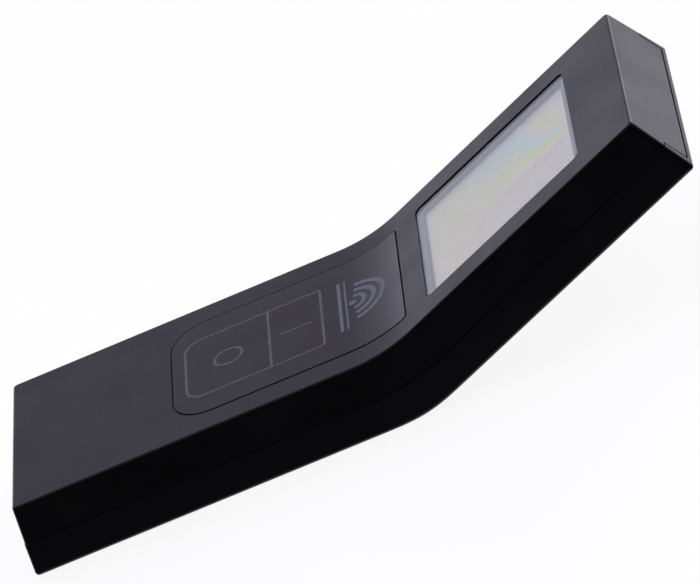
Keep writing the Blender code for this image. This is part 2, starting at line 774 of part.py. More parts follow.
def make_display():
    rounds = (WINDOW_ROUND, WINDOW_ROUND)
    plate(
        "window_lens",
        (WINDOW_START, WINDOW_END),
        WINDOW_HALF,
        (THICK - LENS_SINK - LENS_THICK, THICK - LENS_SINK),
        rounds,
        CLEAR,
        HEAD,
    )
    bezel_x = (WINDOW_START + 0.1 * MM, WINDOW_END - 0.1 * MM)
    bezel_half = WINDOW_HALF - 0.1 * MM
    bezel = plate(
        "display_bezel", bezel_x, bezel_half, (BEZEL_FOOT_Z, BEZEL_TOP_Z), rounds, BEZEL_GREY, HEAD
    )
    inner_x = (bezel_x[0] + BEZEL_SKIRT, bezel_x[1] - BEZEL_SKIRT)
    inner_half = bezel_half - BEZEL_SKIRT
    view_x = (bezel_x[0] + BEZEL_BORDER, bezel_x[1] - BEZEL_BORDER)
    cut(
        bezel,
        box(
            "bezel_room",
            inner_x,
            both_sides(inner_half),
            (BEZEL_FOOT_Z - MM, BEZEL_TOP_Z - BEZEL_PLATE),
            frame=HEAD,
        ),
        box(
            "bezel_view",
            view_x,
            both_sides(bezel_half - BEZEL_BORDER),
            (BEZEL_FOOT_Z, BEZEL_TOP_Z + MM),
            frame=HEAD,
        ),
    )
    glass_x = (inner_x[0] + GAP, inner_x[1] - GAP)
    glass_half = inner_half - GAP
    front_z = LCD_TOP_Z - LCD_GLASS
    rear_z = front_z - 0.1 * MM - LCD_GLASS
    add = dict(finish=LCD_CLEAR, frame=HEAD)
    box("lcd_front_glass", glass_x, both_sides(glass_half - 1.5 * MM), (front_z, LCD_TOP_Z), **add)
    box("lcd_rear_glass", glass_x, both_sides(glass_half), (rear_z, rear_z + LCD_GLASS), **add)
    zebra_z = (DISPLAY_BOARD_Z + BOARD + 0.1 * MM, rear_z - 0.1 * MM)
    for name, y in (("near", -glass_half + 0.4 * MM), ("far", glass_half - 2.4 * MM)):
        span = (glass_x[0] + 1.0 * MM, glass_x[1] - 1.0 * MM)
        box(f"zebra_strip_{name}", span, (y, y + 2.0 * MM), zebra_z, ZEBRA, HEAD)
    box(
        "lcd_reflector",
        glass_x,
        both_sides(glass_half - 3.0 * MM),
        (rear_z - 0.4 * MM, rear_z - 0.1 * MM),
        LCD_SILVER,
        HEAD,
    )
    board_z = (DISPLAY_BOARD_Z, DISPLAY_BOARD_Z + BOARD)
    board = box(
        "display_board",
        (DISPLAY_BOARD_START, DISPLAY_BOARD_END),
        both_sides(DISPLAY_BOARD_HALF),
        board_z,
        LAMINATE,
        HEAD,
    )
    drill(board, "display", display_screw_places(), board_z, HEAD)
    board_screws("display_screw", display_screw_places(), DISPLAY_BOARD_Z, HEAD, head_up=False)


def drill(board, name, places, z, frame):
    for index, at in enumerate(places):
        hole = rod(f"{name}_board_hole_{index}", at, 1.2 * MM, (z[0] - MM, z[1] + MM), CASE, frame, 12)
        cut(board, hole)


def board_screws(name, places, board_z, frame, head_up=True):
    """Pan-head screws through a board, with their heads above it or below it."""
    way = 1 if head_up else -1
    seat = board_z + BOARD + 0.1 * MM if head_up else board_z - 0.1 * MM
    heights = [1.3, 1.0, 0.0, 0.0, -3.6, -4.2]
    radii = [0.0, 1.7, 1.9, 0.75, 0.75, 0.0]
    profile = [(r * MM, way * h * MM) for r, h in zip(radii, heights)]
    if not head_up:
        profile.reverse()
    for index, (x, y) in enumerate(places):
        turned(f"{name}_{index + 1}", profile, STEEL, frame, (x, y, seat), sides=12)


# ---------------------------------------------------------------- tube and high voltage


def make_tube_unit():
    board_z = (TUBE_BOARD_Z, TUBE_BOARD_Z + BOARD)
    board = box(
        "tube_board",
        (TUBE_BOARD_START, TUBE_BOARD_END),
        both_sides(TUBE_BOARD_HALF),
        board_z,
        LAMINATE,
        HEAD,
    )
    places = [(TUBE_SCREW_X, y) for y in both_sides(TUBE_SCREW_Y)]
    drill(board, "tube", places, board_z, HEAD)
    board_screws("tube_board_screw", places, TUBE_BOARD_Z, HEAD)
    make_tube()
    for name, y in (("near", -CLIP_Y), ("far", CLIP_Y)):
        make_clip(f"tube_clip_{name}", y)
    floor = board_z[1] + 0.2 * MM
    core = [
        (1.2 * MM, 4.6 * MM),
        (4.6 * MM, 4.6 * MM),
        (4.6 * MM, 0.0),
        (1.2 * MM, 0.0),
        (1.2 * MM, 4.6 * MM),
    ]
    turned("hv_transformer", core, FERRITE, HEAD, (156.0 * MM, -8.0 * MM, floor), sides=20)
    for index, y in enumerate((6.0 * MM, 12.0 * MM)):
        x = (150.0 * MM, 158.0 * MM)
        z = (floor, floor + 4.5 * MM)
        block = box(f"hv_capacitor_{index + 1}", x, (y, y + 3.5 * MM), z, CERAMIC, HEAD)
        soften(block, 0.5 * MM)
    header_x = (129.0 * MM, 131.5 * MM)
    header_z = (floor, DISPLAY_BOARD_Z - 0.2 * MM)
    box("board_header", header_x, both_sides(10.0 * MM), header_z, COMPONENT, HEAD)


def make_tube():
    """The metal counting tube, with crimped grooves near its ends, and a cap on each end."""
    half = TUBE_HALF
    groove = half - 2.2 * MM
    upper = [
        (0.0, half),
        (4.2 * MM, half),
        (TUBE_RADIUS, half - 0.6 * MM),
        (TUBE_RADIUS, groove + 0.5 * MM),
        (4.6 * MM, groove),
        (TUBE_RADIUS, groove - 0.5 * MM),
    ]
    profile = upper + [(radius, -height) for radius, height in reversed(upper)]
    across = (-math.pi / 2, 0.0, 0.0)
    at = (TUBE_X, 0.0, TUBE_Z)
    turned("geiger_tube", profile, TUBE_STEEL, HEAD, at, across, ROUND)
    for name, way in (("anode_cap", -1), ("cathode_cap", 1)):
        start = half + 0.2 * MM
        cap = [
            (0.0, CAP_LENGTH),
            (2.4 * MM, CAP_LENGTH),
            (2.8 * MM, CAP_LENGTH - 0.4 * MM),
            (2.8 * MM, 0.8 * MM),
            (3.6 * MM, 0.4 * MM),
            (3.6 * MM, 0.0),
            (0.0, 0.0),
        ]
        tilt = (-way * math.pi / 2, 0.0, 0.0)
        turned(f"tube_{name}", cap, BRASS, HEAD, (TUBE_X, way * start, TUBE_Z), tilt)


def make_clip(name, y):
    """A spring strip bent round the tube, open at the top."""
    radius = TUBE_RADIUS + 0.2 * MM
    width = 4.0 * MM
    steps = 12
    shape = bmesh.new()
    rows = []
    for i in range(steps + 1):
        angle = math.radians(-220 + 260 * i / steps)
        x = radius * math.cos(angle)
        z = radius * math.sin(angle)
        rows.append([shape.verts.new((x, side, z)) for side in (-width / 2, width / 2)])
    for row, after in zip(rows, rows[1:]):
        shape.faces.new((row[0], row[1], after[1], after[0]))
    bmesh.ops.translate(shape, vec=(TUBE_X, y, TUBE_Z), verts=shape.verts)
    piece = place(shape, name, BRASS, HEAD, (TUBE_X, y, TUBE_Z))
    sheet = piece.modifiers.new("sheet", "SOLIDIFY")
    sheet.thickness = 0.3 * MM
    sheet.offset = outward_offset(piece)


def outward_offset(piece):
    """Which way Solidify has to grow the strip so that it leaves the tube's own side free."""
    face = piece.data.polygons[0]
    return 1.0 if face.normal.dot(Vector((face.center.x, 0.0, face.center.z))) > 0 else -1.0


def soften(piece, width):
    bevel = piece.modifiers.new("soften", "BEVEL")
    bevel.width = width
    bevel.segments = 2


# ---------------------------------------------------------------- main board


def make_main_board():
    board_z = (MAIN_BOARD_Z, MAIN_BOARD_Z + BOARD)
    board = box(
        "main_board",
        (MAIN_BOARD_START, MAIN_BOARD_END),
        both_sides(MAIN_BOARD_HALF),
        board_z,
        LAMINATE,
    )
    places = [(MAIN_SCREW_X, y) for y in both_sides(MAIN_SCREW_Y)]
    drill(board, "main", places, board_z, HANDLE)
    board_screws("main_board_screw", places, MAIN_BOARD_Z, HANDLE)
    floor = board_z[1] + 0.2 * MM
    chip_x = (67.0 * MM, 77.0 * MM)
    box("microcontroller", chip_x, both_sides(5.0 * MM), (floor, floor + 1.4 * MM), COMPONENT)
    can_z = (floor, floor + 3.4 * MM)
    crystal = plate(
        "crystal", (66.0 * MM, 77.0 * MM), 2.3 * MM, can_z, (2.0 * MM, 2.0 * MM), STEEL,
        y_centre=10.5 * MM,
    )
    soften(crystal, 0.3 * MM)
    buzzer = [
        (0.0, 5.0 * MM),
        (5.6 * MM, 5.0 * MM),
        (6.0 * MM, 4.6 * MM),
        (6.0 * MM, 0.0),
        (0.0, 0.0),
    ]
    turned("piezo_buzzer", buzzer, COMPONENT, HANDLE, (54.0 * MM, -10.0 * MM, floor), sides=ROUND)
    capacitor = [
        (0.0, 5.8 * MM),
        (2.8 * MM, 5.8 * MM),
        (3.1 * MM, 5.5 * MM),
        (3.1 * MM, 0.0),
        (0.0, 0.0),
    ]
    turned("storage_capacitor", capacitor, STEEL, HANDLE, (52.0 * MM, 12.0 * MM, floor))
    coil_z = (floor, floor + 3.0 * MM)
    inductor = box("power_inductor", (83.0 * MM, 89.0 * MM), (10.0 * MM, 16.0 * MM), coil_z, FERRITE)
    soften(inductor, 0.6 * MM)
    make_ribbon(floor)


def make_ribbon(floor):
    """A flat cable between the boards, which follows the bend."""
    ribbon_z = (7.6 * MM, 7.9 * MM)
    half = 6.0 * MM
    start = 93.6 * MM
    end = 123.0 * MM
    ribbon = box("board_ribbon", (start, end), both_sides(half), ribbon_z, POLYESTER)
    bend_piece(ribbon)
    socket_half = half + 1.5 * MM
    main_x = (start - GAP - 2.8 * MM, start - GAP)
    main_z = (floor, floor + 2.4 * MM)
    box("ribbon_socket_main", main_x, both_sides(socket_half), main_z, CONNECTOR)
    head_floor = TUBE_BOARD_Z + BOARD + 0.2 * MM
    head_x = (end + GAP, end + GAP + 2.8 * MM)
    head_z = (head_floor, head_floor + 2.4 * MM)
    box("ribbon_socket_head", head_x, both_sides(socket_half), head_z, CONNECTOR, HEAD)


# ---------------------------------------------------------------- battery


def make_battery():
    cell = [
        (0.0, CELL_HALF),
        (2.7 * MM, CELL_HALF),
        (2.7 * MM, CELL_HALF - 1.0 * MM),
        (6.4 * MM, CELL_HALF - 1.0 * MM),
        (CELL_RADIUS, CELL_HALF - 1.8 * MM),
        (CELL_RADIUS, -CELL_HALF + 0.6 * MM),
        (6.6 * MM, -CELL_HALF),
        (0.0, -CELL_HALF),
    ]
    for index, (x, way) in enumerate(zip(CELL_X, (1, -1))):
        at = (x, way * CELL_SHIFT, CELL_Z)
        tilt = (-way * math.pi / 2, 0.0, 0.0)
        turned(f"cell_{index + 1}", cell, CELL_JACKET, HANDLE, at, tilt, ROUND)
        make_contact_spring(f"contact_spring_{index + 1}", x, -way)
    plate_z = (CELL_Z - 4.5 * MM, CELL_Z + 4.5 * MM)
    plate_reach = 4.5 * MM
    far_y = (CONTACT_Y, CONTACT_Y + CONTACT_SHEET)
    near_y = (-CONTACT_Y - CONTACT_SHEET, -CONTACT_Y)
    bridge_x = (CELL_X[0] - plate_reach, CELL_X[1] + plate_reach)
    box("contact_bridge", bridge_x, far_y, plate_z, NICKEL)
    for name, x in (("contact_minus", CELL_X[0]), ("contact_plus", CELL_X[1])):
        tag = (x - plate_reach, x + plate_reach)
        box(name, tag, near_y, (plate_z[0], 15.2 * MM), NICKEL)
    make_leads()


def make_contact_spring(name, x, way):
    """A cone-shaped coil spring that presses on a cell's flat end."""
    turns = 3.5
    wire_radius = 0.35 * MM
    wide = 4.4 * MM
    narrow = 2.0 * MM
    foot = CONTACT_Y - 0.2 * MM - wire_radius
    tip = CELL_HALF - CELL_SHIFT + 0.2 * MM + wire_radius
    steps = 44
    route = []
    for i in range(steps + 1):
        share = i / steps
        angle = 2 * math.pi * turns * share
        radius = wide + (narrow - wide) * share
        y = way * (foot + (tip - foot) * share)
        route.append((x + radius * math.cos(angle), y, CELL_Z + radius * math.sin(angle)))
    wire(name, [], wire_radius, NICKEL, HANDLE, closed_form=route)


def make_leads():
    """Two leads from the contacts' tags, along the compartment's wall and down to the main board."""
    along = 15.0
    black = [
        (14.2, -28.5, along),
        (17.5, -29.6, along),
        (27.0, -30.0, along),
        (35.0, -29.6, along),
        (39.0, -27.2, along),
        (42.0, -24.0, 14.2),
        (43.8, -21.6, 11.0),
        (46.0, -20.0, 7.6),
    ]
    red = [
        (30.4, -28.5, along),
        (34.0, -28.2, along),
        (37.5, -25.5, along),
        (40.6, -22.0, along),
        (43.0, -19.2, 12.2),
        (44.8, -17.8, 9.6),
        (46.8, -17.2, 7.6),
    ]
    for name, points, finish in (("black", black, BLACK_WIRE), ("red", red, RED_WIRE)):
        route = [Vector(point) * MM for point in points]
        wire(f"battery_lead_{name}", route, 0.5 * MM, finish, HANDLE)


# ---------------------------------------------------------------- build


make_top_shell()
make_bottom_shell()
make_battery_door()
make_case_screws()
make_keypad()
make_display()
make_tube_unit()
make_main_board()
make_battery()
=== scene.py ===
"""Looks for the hand-held Geiger counter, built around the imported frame.

Case pieces are drawn in the straight layout of the case, as if it weren't bent: x runs from the
handle end, y across and z up from the underside. HANDLE and HEAD carry that layout to the row
frame on either side of the bend, and round_bend carries what crosses it. All sizes are in metres.
"""

import json
import math

import bmesh
import bpy
from mathutils import Matrix, Vector

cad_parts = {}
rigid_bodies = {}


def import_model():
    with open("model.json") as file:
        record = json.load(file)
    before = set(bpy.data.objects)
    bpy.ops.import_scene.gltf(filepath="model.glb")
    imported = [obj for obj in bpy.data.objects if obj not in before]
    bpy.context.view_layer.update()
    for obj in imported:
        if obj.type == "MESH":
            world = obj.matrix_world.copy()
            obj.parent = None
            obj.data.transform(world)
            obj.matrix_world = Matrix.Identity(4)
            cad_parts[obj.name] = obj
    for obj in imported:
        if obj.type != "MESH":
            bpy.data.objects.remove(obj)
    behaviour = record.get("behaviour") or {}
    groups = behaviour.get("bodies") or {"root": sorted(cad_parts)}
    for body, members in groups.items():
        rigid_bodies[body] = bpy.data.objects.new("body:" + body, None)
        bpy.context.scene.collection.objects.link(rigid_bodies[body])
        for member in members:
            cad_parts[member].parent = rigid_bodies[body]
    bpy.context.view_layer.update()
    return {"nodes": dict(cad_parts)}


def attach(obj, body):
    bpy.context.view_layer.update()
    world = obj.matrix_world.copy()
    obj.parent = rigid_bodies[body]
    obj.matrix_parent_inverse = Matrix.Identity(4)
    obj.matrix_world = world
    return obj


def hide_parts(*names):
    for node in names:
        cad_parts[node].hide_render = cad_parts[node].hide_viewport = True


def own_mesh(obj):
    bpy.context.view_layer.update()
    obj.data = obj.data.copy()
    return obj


MM = 0.001

# Clearance between pieces that only touch.
GAP = 0.3 * MM

# A point this close to a plane lies on it. Edges past SHARP can be rounded, and past CREASE show sharp.
CLOSE = 0.01 * MM
SHARP = math.radians(35)
CREASE = math.radians(38)

# Case outline, measured along the top face.
START = -0.45 * MM
LENGTH = 191.0 * MM
WIDTH = 67.7 * MM
THICK = 19.8 * MM
BEND = math.radians(22.34)
BEND_START = 94.0 * MM
BEND_RADIUS = 47.4 * MM
BEND_END = BEND_START + BEND_RADIUS * BEND
BEND_STEPS = 24
UNDERSIDE_FULLNESS = 0.48 * MM
CENTRE_X = 95.88 * MM

# Walls and the joint between the shells.
WALL = 2.0 * MM
PARTING_DEPTH = 10.3 * MM
PARTING_Z = THICK - PARTING_DEPTH
RIM_Z = PARTING_Z - GAP
TOP_FLARE = 1.2 * MM
HEAD_FLARE = 1.5 * MM
RIM_FLARE = 1.38 * MM
BASE_FLARE = 2.3 * MM
TOP_EDGE = 0.7 * MM
BASE_EDGE = 1.2 * MM
CORNER = 1.3 * MM
LIP_HEIGHT = 1.5 * MM
LIP_OUTSET = -1.1 * MM
LIP_INSET = -2.1 * MM
LIP_ROOT_Z = PARTING_Z - 1.8 * MM
TONGUE_HALF = 32.5 * MM
TONGUE_FOOT_Z = 2.4 * MM
TONGUE_INNER_X = 190.6 * MM
TONGUE_GAP = 0.5 * MM
SOFT_EDGE = 0.12 * MM
CRISP_EDGE = 0.05 * MM

# Where cutting blocks end, past the case.
HANDLE_SIDE_X = -9 * MM
HEAD_SIDE_X = 210 * MM
OUTSIDE_Y = 60 * MM

# Keypad.
PAD_X = (45.5 * MM, 111.6 * MM)
PAD_HALF = 24.6 * MM
PAD_ROUND = 10.5 * MM
PAD_SQUARE = 1.2 * MM
PAD_TOP_Z = THICK + 0.1 * MM
PAD_FILM = 0.5 * MM
FILM_EDGE = 0.08 * MM
PAD_RECESS = 0.6 * MM
PAD_GAP = 0.4 * MM
KEYS_X = (49.3 * MM, 87.9 * MM)
KEYS_SPLIT = 73.0 * MM
KEYS_HALF = 15.4 * MM
KEY_ROUND = 5.0 * MM
KEY_SQUARE = 1.0 * MM
KEY_THICK = 0.6 * MM
OFF_KEY_X = (KEYS_X[0] + GAP / 2, KEYS_SPLIT - GAP / 2)
ON_KEY_X = (KEYS_SPLIT + GAP / 2, KEYS_X[1] - GAP / 2)
POCKET_FLOOR_Z = THICK - 2.4 * MM
POCKET_SEAT_Z = THICK - 3.8 * MM
DOME_Z = THICK - 1.6 * MM
INK_Z = (PAD_TOP_Z, PAD_TOP_Z + 0.02 * MM)
LINE_HALF = 0.36 * MM

# Window and display.
WINDOW_X = (119.3 * MM, 173.2 * MM)
WINDOW_HALF = 24.6 * MM
WINDOW_ROUND = 1.8 * MM
WINDOW_GAP = 0.25 * MM
LENS_TOP_Z = THICK - 0.35 * MM
LENS_THICK = 1.0 * MM
LCD_TOP_Z = THICK - 2.3 * MM
LCD_GLASS = 0.95 * MM

# Underside.
SCREW_X = (45.0 * MM, 170.0 * MM)
SCREW_Y = 29.0 * MM
PILLAR_TOP_Z = PARTING_Z - 1.7 * MM
PILLAR_RADIUS = 4.0 * MM
HEAD_RECESS = 2.95 * MM
BOSS_RADIUS = 3.2 * MM
BOSS_FOOT_Z = PILLAR_TOP_Z + GAP
SCREW_HOLE = 1.6 * MM
SEAT_Z = 4.0 * MM
DOOR_END = 37.5 * MM
DOOR_HALF = 28.0 * MM
DOOR_THICK = 1.8 * MM
RAIL_REACH = 1.2 * MM
COMPARTMENT_HALF = 28.2 * MM
COMPARTMENT_END = 38.0 * MM
COMPARTMENT_TOP_Z = 13.9 * MM
COMPARTMENT_WALL = 2.4 * MM

# Cells.
CELL_RADIUS = 7.25 * MM
CELL_HALF = 25.25 * MM
CELL_Z = 9.5 * MM
CELL_SHIFT = 2.1 * MM


# ---------------------------------------------------------------- layout


def bent(x, y, z):
    """A point of the straight layout, carried round the bend."""
    turn = min(max((x - BEND_START) / BEND_RADIUS, 0.0), BEND)
    beyond = max(x - BEND_END, 0.0)
    depth = THICK - z
    below = max(depth - PARTING_DEPTH, 0.0) / (THICK - PARTING_DEPTH)
    depth += UNDERSIDE_FULLNESS * below * math.sin(math.pi * turn / BEND) ** 2
    radius = BEND_RADIUS + depth
    along = min(x, BEND_START) + radius * math.sin(turn) + beyond * math.cos(turn)
    up = THICK + BEND_RADIUS - radius * math.cos(turn) + beyond * math.sin(turn)
    return Vector((along, y, up))


def round_bend(shape):
    """Cuts the straight shape at steps across the bend, then carries its points round it."""
    for step in range(BEND_STEPS + 1):
        x = BEND_START + (BEND_END - BEND_START) * step / BEND_STEPS
        everything = shape.verts[:] + shape.edges[:] + shape.faces[:]
        bmesh.ops.bisect_plane(shape, geom=everything, plane_co=(x, 0, 0), plane_no=(1, 0, 0))
    for vert in shape.verts:
        vert.co = bent(*vert.co)
    return shape


HANDLE = Matrix.Translation((-CENTRE_X, 0.0, 0.0))
HEAD_TURN = Matrix.Rotation(-BEND, 4, "Y")
HEAD_SHIFT = bent(BEND_END, 0.0, THICK) - HEAD_TURN @ Vector((BEND_END, 0.0, THICK))
HEAD = HANDLE @ Matrix.Translation(HEAD_SHIFT) @ HEAD_TURN


# ---------------------------------------------------------------- shapes


def outline(x, half, near, far, grow=0.0, steps=8):
    """A rounded rectangle's points: one radius at the handle-end corners, one at the head-end ones."""
    corners = (
        (x[1] - far, half - far, far, 0.0),
        (x[0] + near, half - near, near, 0.5 * math.pi),
        (x[0] + near, near - half, near, math.pi),
        (x[1] - far, far - half, far, 1.5 * math.pi),
    )
    points = []
    for centre_x, centre_y, radius, start in corners:
        reach = radius + grow
        for step in range(steps + 1):
            angle = start + 0.5 * math.pi * step / steps
            points.append((centre_x + reach * math.cos(angle), centre_y + reach * math.sin(angle)))
    return points


def circle(centre, radius, sides):
    angles = [2 * math.pi * step / sides for step in range(sides)]
    return [(centre[0] + radius * math.cos(a), centre[1] + radius * math.sin(a)) for a in angles]


def slab(points, z):
    """A prism over a convex outline."""
    shape = bmesh.new()
    low, high = [[shape.verts.new((x, y, level)) for x, y in points] for level in z]
    shape.faces.new(low[::-1])
    shape.faces.new(high)
    for i in range(len(points)):
        j = (i + 1) % len(points)
        shape.faces.new((low[i], low[j], high[j], high[i]))
    return shape


def band(outer, inner, z, closed=True):
    """A flat strip between two lines of points."""
    shape = bmesh.new()
    rows = []
    for (ox, oy), (ix, iy) in zip(outer, inner):
        corners = ((ox, oy, z[0]), (ox, oy, z[1]), (ix, iy, z[1]), (ix, iy, z[0]))
        rows.append([shape.verts.new(corner) for corner in corners])
    pairs = list(zip(rows, rows[1:]))
    if closed:
        pairs.append((rows[-1], rows[0]))
    for row, after in pairs:
        for i in range(4):
            j = (i + 1) % 4
            shape.faces.new((row[i], row[j], after[j], after[i]))
    if not closed:
        shape.faces.new(rows[0])
        shape.faces.new(rows[-1][::-1])
    return shape


def block(x, y, z):
    return slab([(x[0], y[0]), (x[1], y[0]), (x[1], y[1]), (x[0], y[1])], z)


def rod(centre, radius, z, sides=32):
    return slab(circle(centre, radius, sides), z)


def turned(profile, sides=48):
    """A shape turned about z from (radius, height) points, from its top to its underside."""
    shape = bmesh.new()
    rings = []
    for radius, height in profile:
        if radius == 0.0:
            rings.append([shape.verts.new((0.0, 0.0, height))] * sides)
        else:
            rings.append([shape.verts.new((x, y, height)) for x, y in circle((0, 0), radius, sides)])
    for ring, after in zip(rings, rings[1:]):
        for i in range(sides):
            j = (i + 1) % sides
            corners = dict.fromkeys((ring[i], ring[j], after[j], after[i]))
            if len(corners) > 2:
                shape.faces.new(list(corners))
    return shape


def outline_block(z, grow, head_grow=None, corner=0.0, edge=0.0, edge_at_top=True):
    """A block with the case's outline, grown by one amount at its foot and by another at its top.

    The head end grows by head_grow instead, where that is given.
    """
    head_grow = head_grow or grow
    shape = bmesh.new()
    bmesh.ops.create_cube(shape, size=2.0)
    for vert in shape.verts:
        level = 1 if vert.co.z > 0 else 0
        vert.co.x = LENGTH + head_grow[level] if vert.co.x > 0 else START - grow[level]
        vert.co.y *= WIDTH / 2 + grow[level]
        vert.co.z = z[level]
    middle_z = (z[0] + z[1]) / 2
    rounding = dict(segments=6, profile=0.5, affect="EDGES")
    if corner:
        upright = [e for e in shape.edges if abs(e.verts[0].co.z - e.verts[1].co.z) > CLOSE]
        bmesh.ops.bevel(shape, geom=upright, offset=corner, **rounding)
    if edge:
        rim = [e for e in shape.edges if all((v.co.z > middle_z) == edge_at_top for v in e.verts)]
        bmesh.ops.bevel(shape, geom=rim, offset=edge, **rounding)
    return shape


def loose_object(shape, name):
    bmesh.ops.recalc_face_normals(shape, faces=shape.faces)
    mesh = bpy.data.meshes.new(name)
    shape.to_mesh(mesh)
    shape.free()
    made = bpy.data.objects.new(name, mesh)
    bpy.context.scene.collection.objects.link(made)
    return made


def combined(shape, steps):
    """The shape after Boolean steps, each an operation and the shape that it uses."""
    base = loose_object(shape, "base")
    tools = []
    for operation, tool_shape in steps:
        tool = loose_object(tool_shape, "tool")
        boolean = base.modifiers.new("step", "BOOLEAN")
        boolean.operation = operation
        boolean.solver = "EXACT"
        boolean.object = tool
        tools.append(tool)
    bpy.context.view_layer.update()
    graph = bpy.context.evaluated_depsgraph_get()
    result = bmesh.new()
    result.from_object(base, graph)
    for used in [base, *tools]:
        bpy.data.objects.remove(used, do_unlink=True)
    bmesh.ops.remove_doubles(result, verts=result.verts, dist=1e-7)
    return result


def cut(*tools):
    return [("DIFFERENCE", tool) for tool in tools]


def join(*tools):
    return [("UNION", tool) for tool in tools]


def round_edges(shape, width, wanted, segments=3):
    """Rounds the sharp edges whose middle point is wanted."""
    edges = []
    for edge in shape.edges:
        if len(edge.link_faces) == 2 and edge.calc_face_angle() > SHARP:
            if wanted((edge.verts[0].co + edge.verts[1].co) / 2):
                edges.append(edge)
    bmesh.ops.bevel(
        shape, geom=edges, offset=width, segments=segments, profile=0.5, affect="EDGES",
        clamp_overlap=False,
    )
    return shape


def piece(name, shape, finish, place=HANDLE, body="case", replaces=()):
    """A finished piece of the shape, carried to the row frame and riding on a CAD body."""
    shape.transform(place)
    bmesh.ops.recalc_face_normals(shape, faces=shape.faces)
    for face in shape.faces:
        face.smooth = True
    for edge in shape.edges:
        edge.smooth = len(edge.link_faces) == 2 and edge.calc_face_angle() < CREASE
    mesh = bpy.data.meshes.new(name)
    shape.to_mesh(mesh)
    shape.free()
    mesh.materials.append(finish)
    made = bpy.data.objects.new(name, mesh)
    bpy.context.scene.collection.objects.link(made)
    normals = made.modifiers.new("normals", "WEIGHTED_NORMAL")
    normals.keep_sharp = True
    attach(made, body)
    if replaces:
        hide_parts(*replaces)
    return made


# ---------------------------------------------------------------- material nodes


class Paint:
    """A material with one Principled shader, and short calls for the nodes that feed it."""

    def __init__(self, name, **settings):
        self.made = bpy.data.materials.new(name)
        self.made.use_nodes = True
        self.tree = self.made.node_tree
        self.shader = self.tree.nodes["Principled BSDF"]
        for key, value in settings.items():
            self.set(key.replace("_", " "), value)

    def set(self, key, value):
        self.feed(self.shader.inputs[key], value)

    def feed(self, socket, value):
        if isinstance(value, bpy.types.NodeSocket):
            self.tree.links.new(value, socket)
        elif hasattr(value, "__len__") and len(value) == 3 and len(socket.default_value) == 4:
            socket.default_value = (*value, 1.0)
        else:
            socket.default_value = value

    def node(self, kind, inputs=(), output=0, **settings):
        made = self.tree.nodes.new("ShaderNode" + kind)
        for key, value in settings.items():
            setattr(made, key, value)
        for key, value in dict(inputs).items():
            self.feed(made.inputs[key], value)
        return made.outputs[output]

    def place(self, scale=(1.0, 1.0, 1.0), turn=(0.0, 0.0, 0.0)):
        """Coordinates in the row frame, in metres, which stay with the piece as it moves."""
        coordinates = self.node("TexCoord", output="Object")
        return self.node("Mapping", {"Vector": coordinates, "Scale": scale, "Rotation": turn})

    def noise(self, size, detail=2.0, rough=0.5, scale=(1.0, 1.0, 1.0), turn=(0.0, 0.0, 0.0)):
        """Noise whose lumps are about the given size."""
        values = {
            "Vector": self.place(scale, turn),
            "Scale": 0.5 / size,
            "Detail": detail,
            "Roughness": rough,
        }
        return self.node("TexNoise", values)

    def math(self, operation, *values):
        made = self.tree.nodes.new("ShaderNodeMath")
        made.operation = operation
        for socket, value in zip(made.inputs, values):
            self.feed(socket, value)
        return made.outputs[0]

    def between(self, value, low, high, to_low=0.0, to_high=1.0, kind="LINEAR"):
        """The value's place from low to high, as a number from to_low to to_high."""
        values = {0: value, 1: low, 2: high, 3: to_low, 4: to_high}
        return self.node("MapRange", values, interpolation_type=kind)

    def ramp(self, value, *stops):
        """A colour from (position, colour) stops."""
        made = self.tree.nodes.new("ShaderNodeValToRGB")
        self.feed(made.inputs[0], value)
        elements = made.color_ramp.elements
        while len(elements) < len(stops):
            elements.new(0.5)
        for element, (position, colour) in zip(elements, stops):
            element.position = position
            element.color = (*colour, 1.0)
        return made.outputs[0]

    def mix(self, share, first, second):
        values = {"Factor": share, 6: first, 7: second}
        return self.node("Mix", values, output=2, data_type="RGBA")

    def bump(self, height, distance, strength=1.0, under=None):
        values = {"Height": height, "Distance": distance, "Strength": strength}
        if under is not None:
            values["Normal"] = under
        return self.node("Bump", values)


def grained_plastic(name, dark, light, rough, grain, depth, scuffs=0.06, **settings):
    """Moulded plastic: faint cloudiness, a fine cast grain, and rubbed streaks along the case."""
    paint = Paint(name, **settings)
    cloud = paint.noise(14 * MM, detail=3.0)
    fleck = paint.noise(0.5 * MM, detail=1.0)
    tone = paint.math("ADD", paint.math("MULTIPLY", cloud, 0.7), paint.math("MULTIPLY", fleck, 0.3))
    paint.set("Base Color", paint.ramp(tone, (0.3, dark), (0.7, light)))
    streak = paint.noise(0.35 * MM, detail=2.0, scale=(0.03, 1.0, 1.0))
    cross = paint.noise(0.45 * MM, detail=2.0, scale=(1.0, 0.04, 1.0), turn=(0.0, 0.0, 0.5))
    rubbed = paint.between(paint.math("MAXIMUM", streak, cross), 0.6, 0.8)
    patch = paint.between(paint.noise(9 * MM, detail=3.0), 0.35, 0.65, rough - 0.03, rough + 0.03)
    paint.set("Roughness", paint.math("SUBTRACT", patch, paint.math("MULTIPLY", rubbed, scuffs)))
    cast = paint.bump(paint.noise(grain, detail=3.0, rough=0.6), depth)
    sag = paint.bump(paint.noise(22 * MM, detail=0.0), 0.03 * MM, under=cast)
    paint.set("Normal", sag)
    return paint.made


def printed_ink(name, colour, rough=0.5):
    """Screen-printed ink: thin in places, with a finely pitted face."""
    paint = Paint(name)
    thin = paint.noise(0.35 * MM, detail=3.0, rough=0.7)
    weak = tuple(0.72 * channel for channel in colour)
    paint.set("Base Color", paint.ramp(thin, (0.3, weak), (0.62, colour)))
    paint.set("Roughness", paint.between(thin, 0.3, 0.7, rough + 0.06, rough - 0.06))
    paint.set("Normal", paint.bump(thin, 0.01 * MM))
    return paint.made


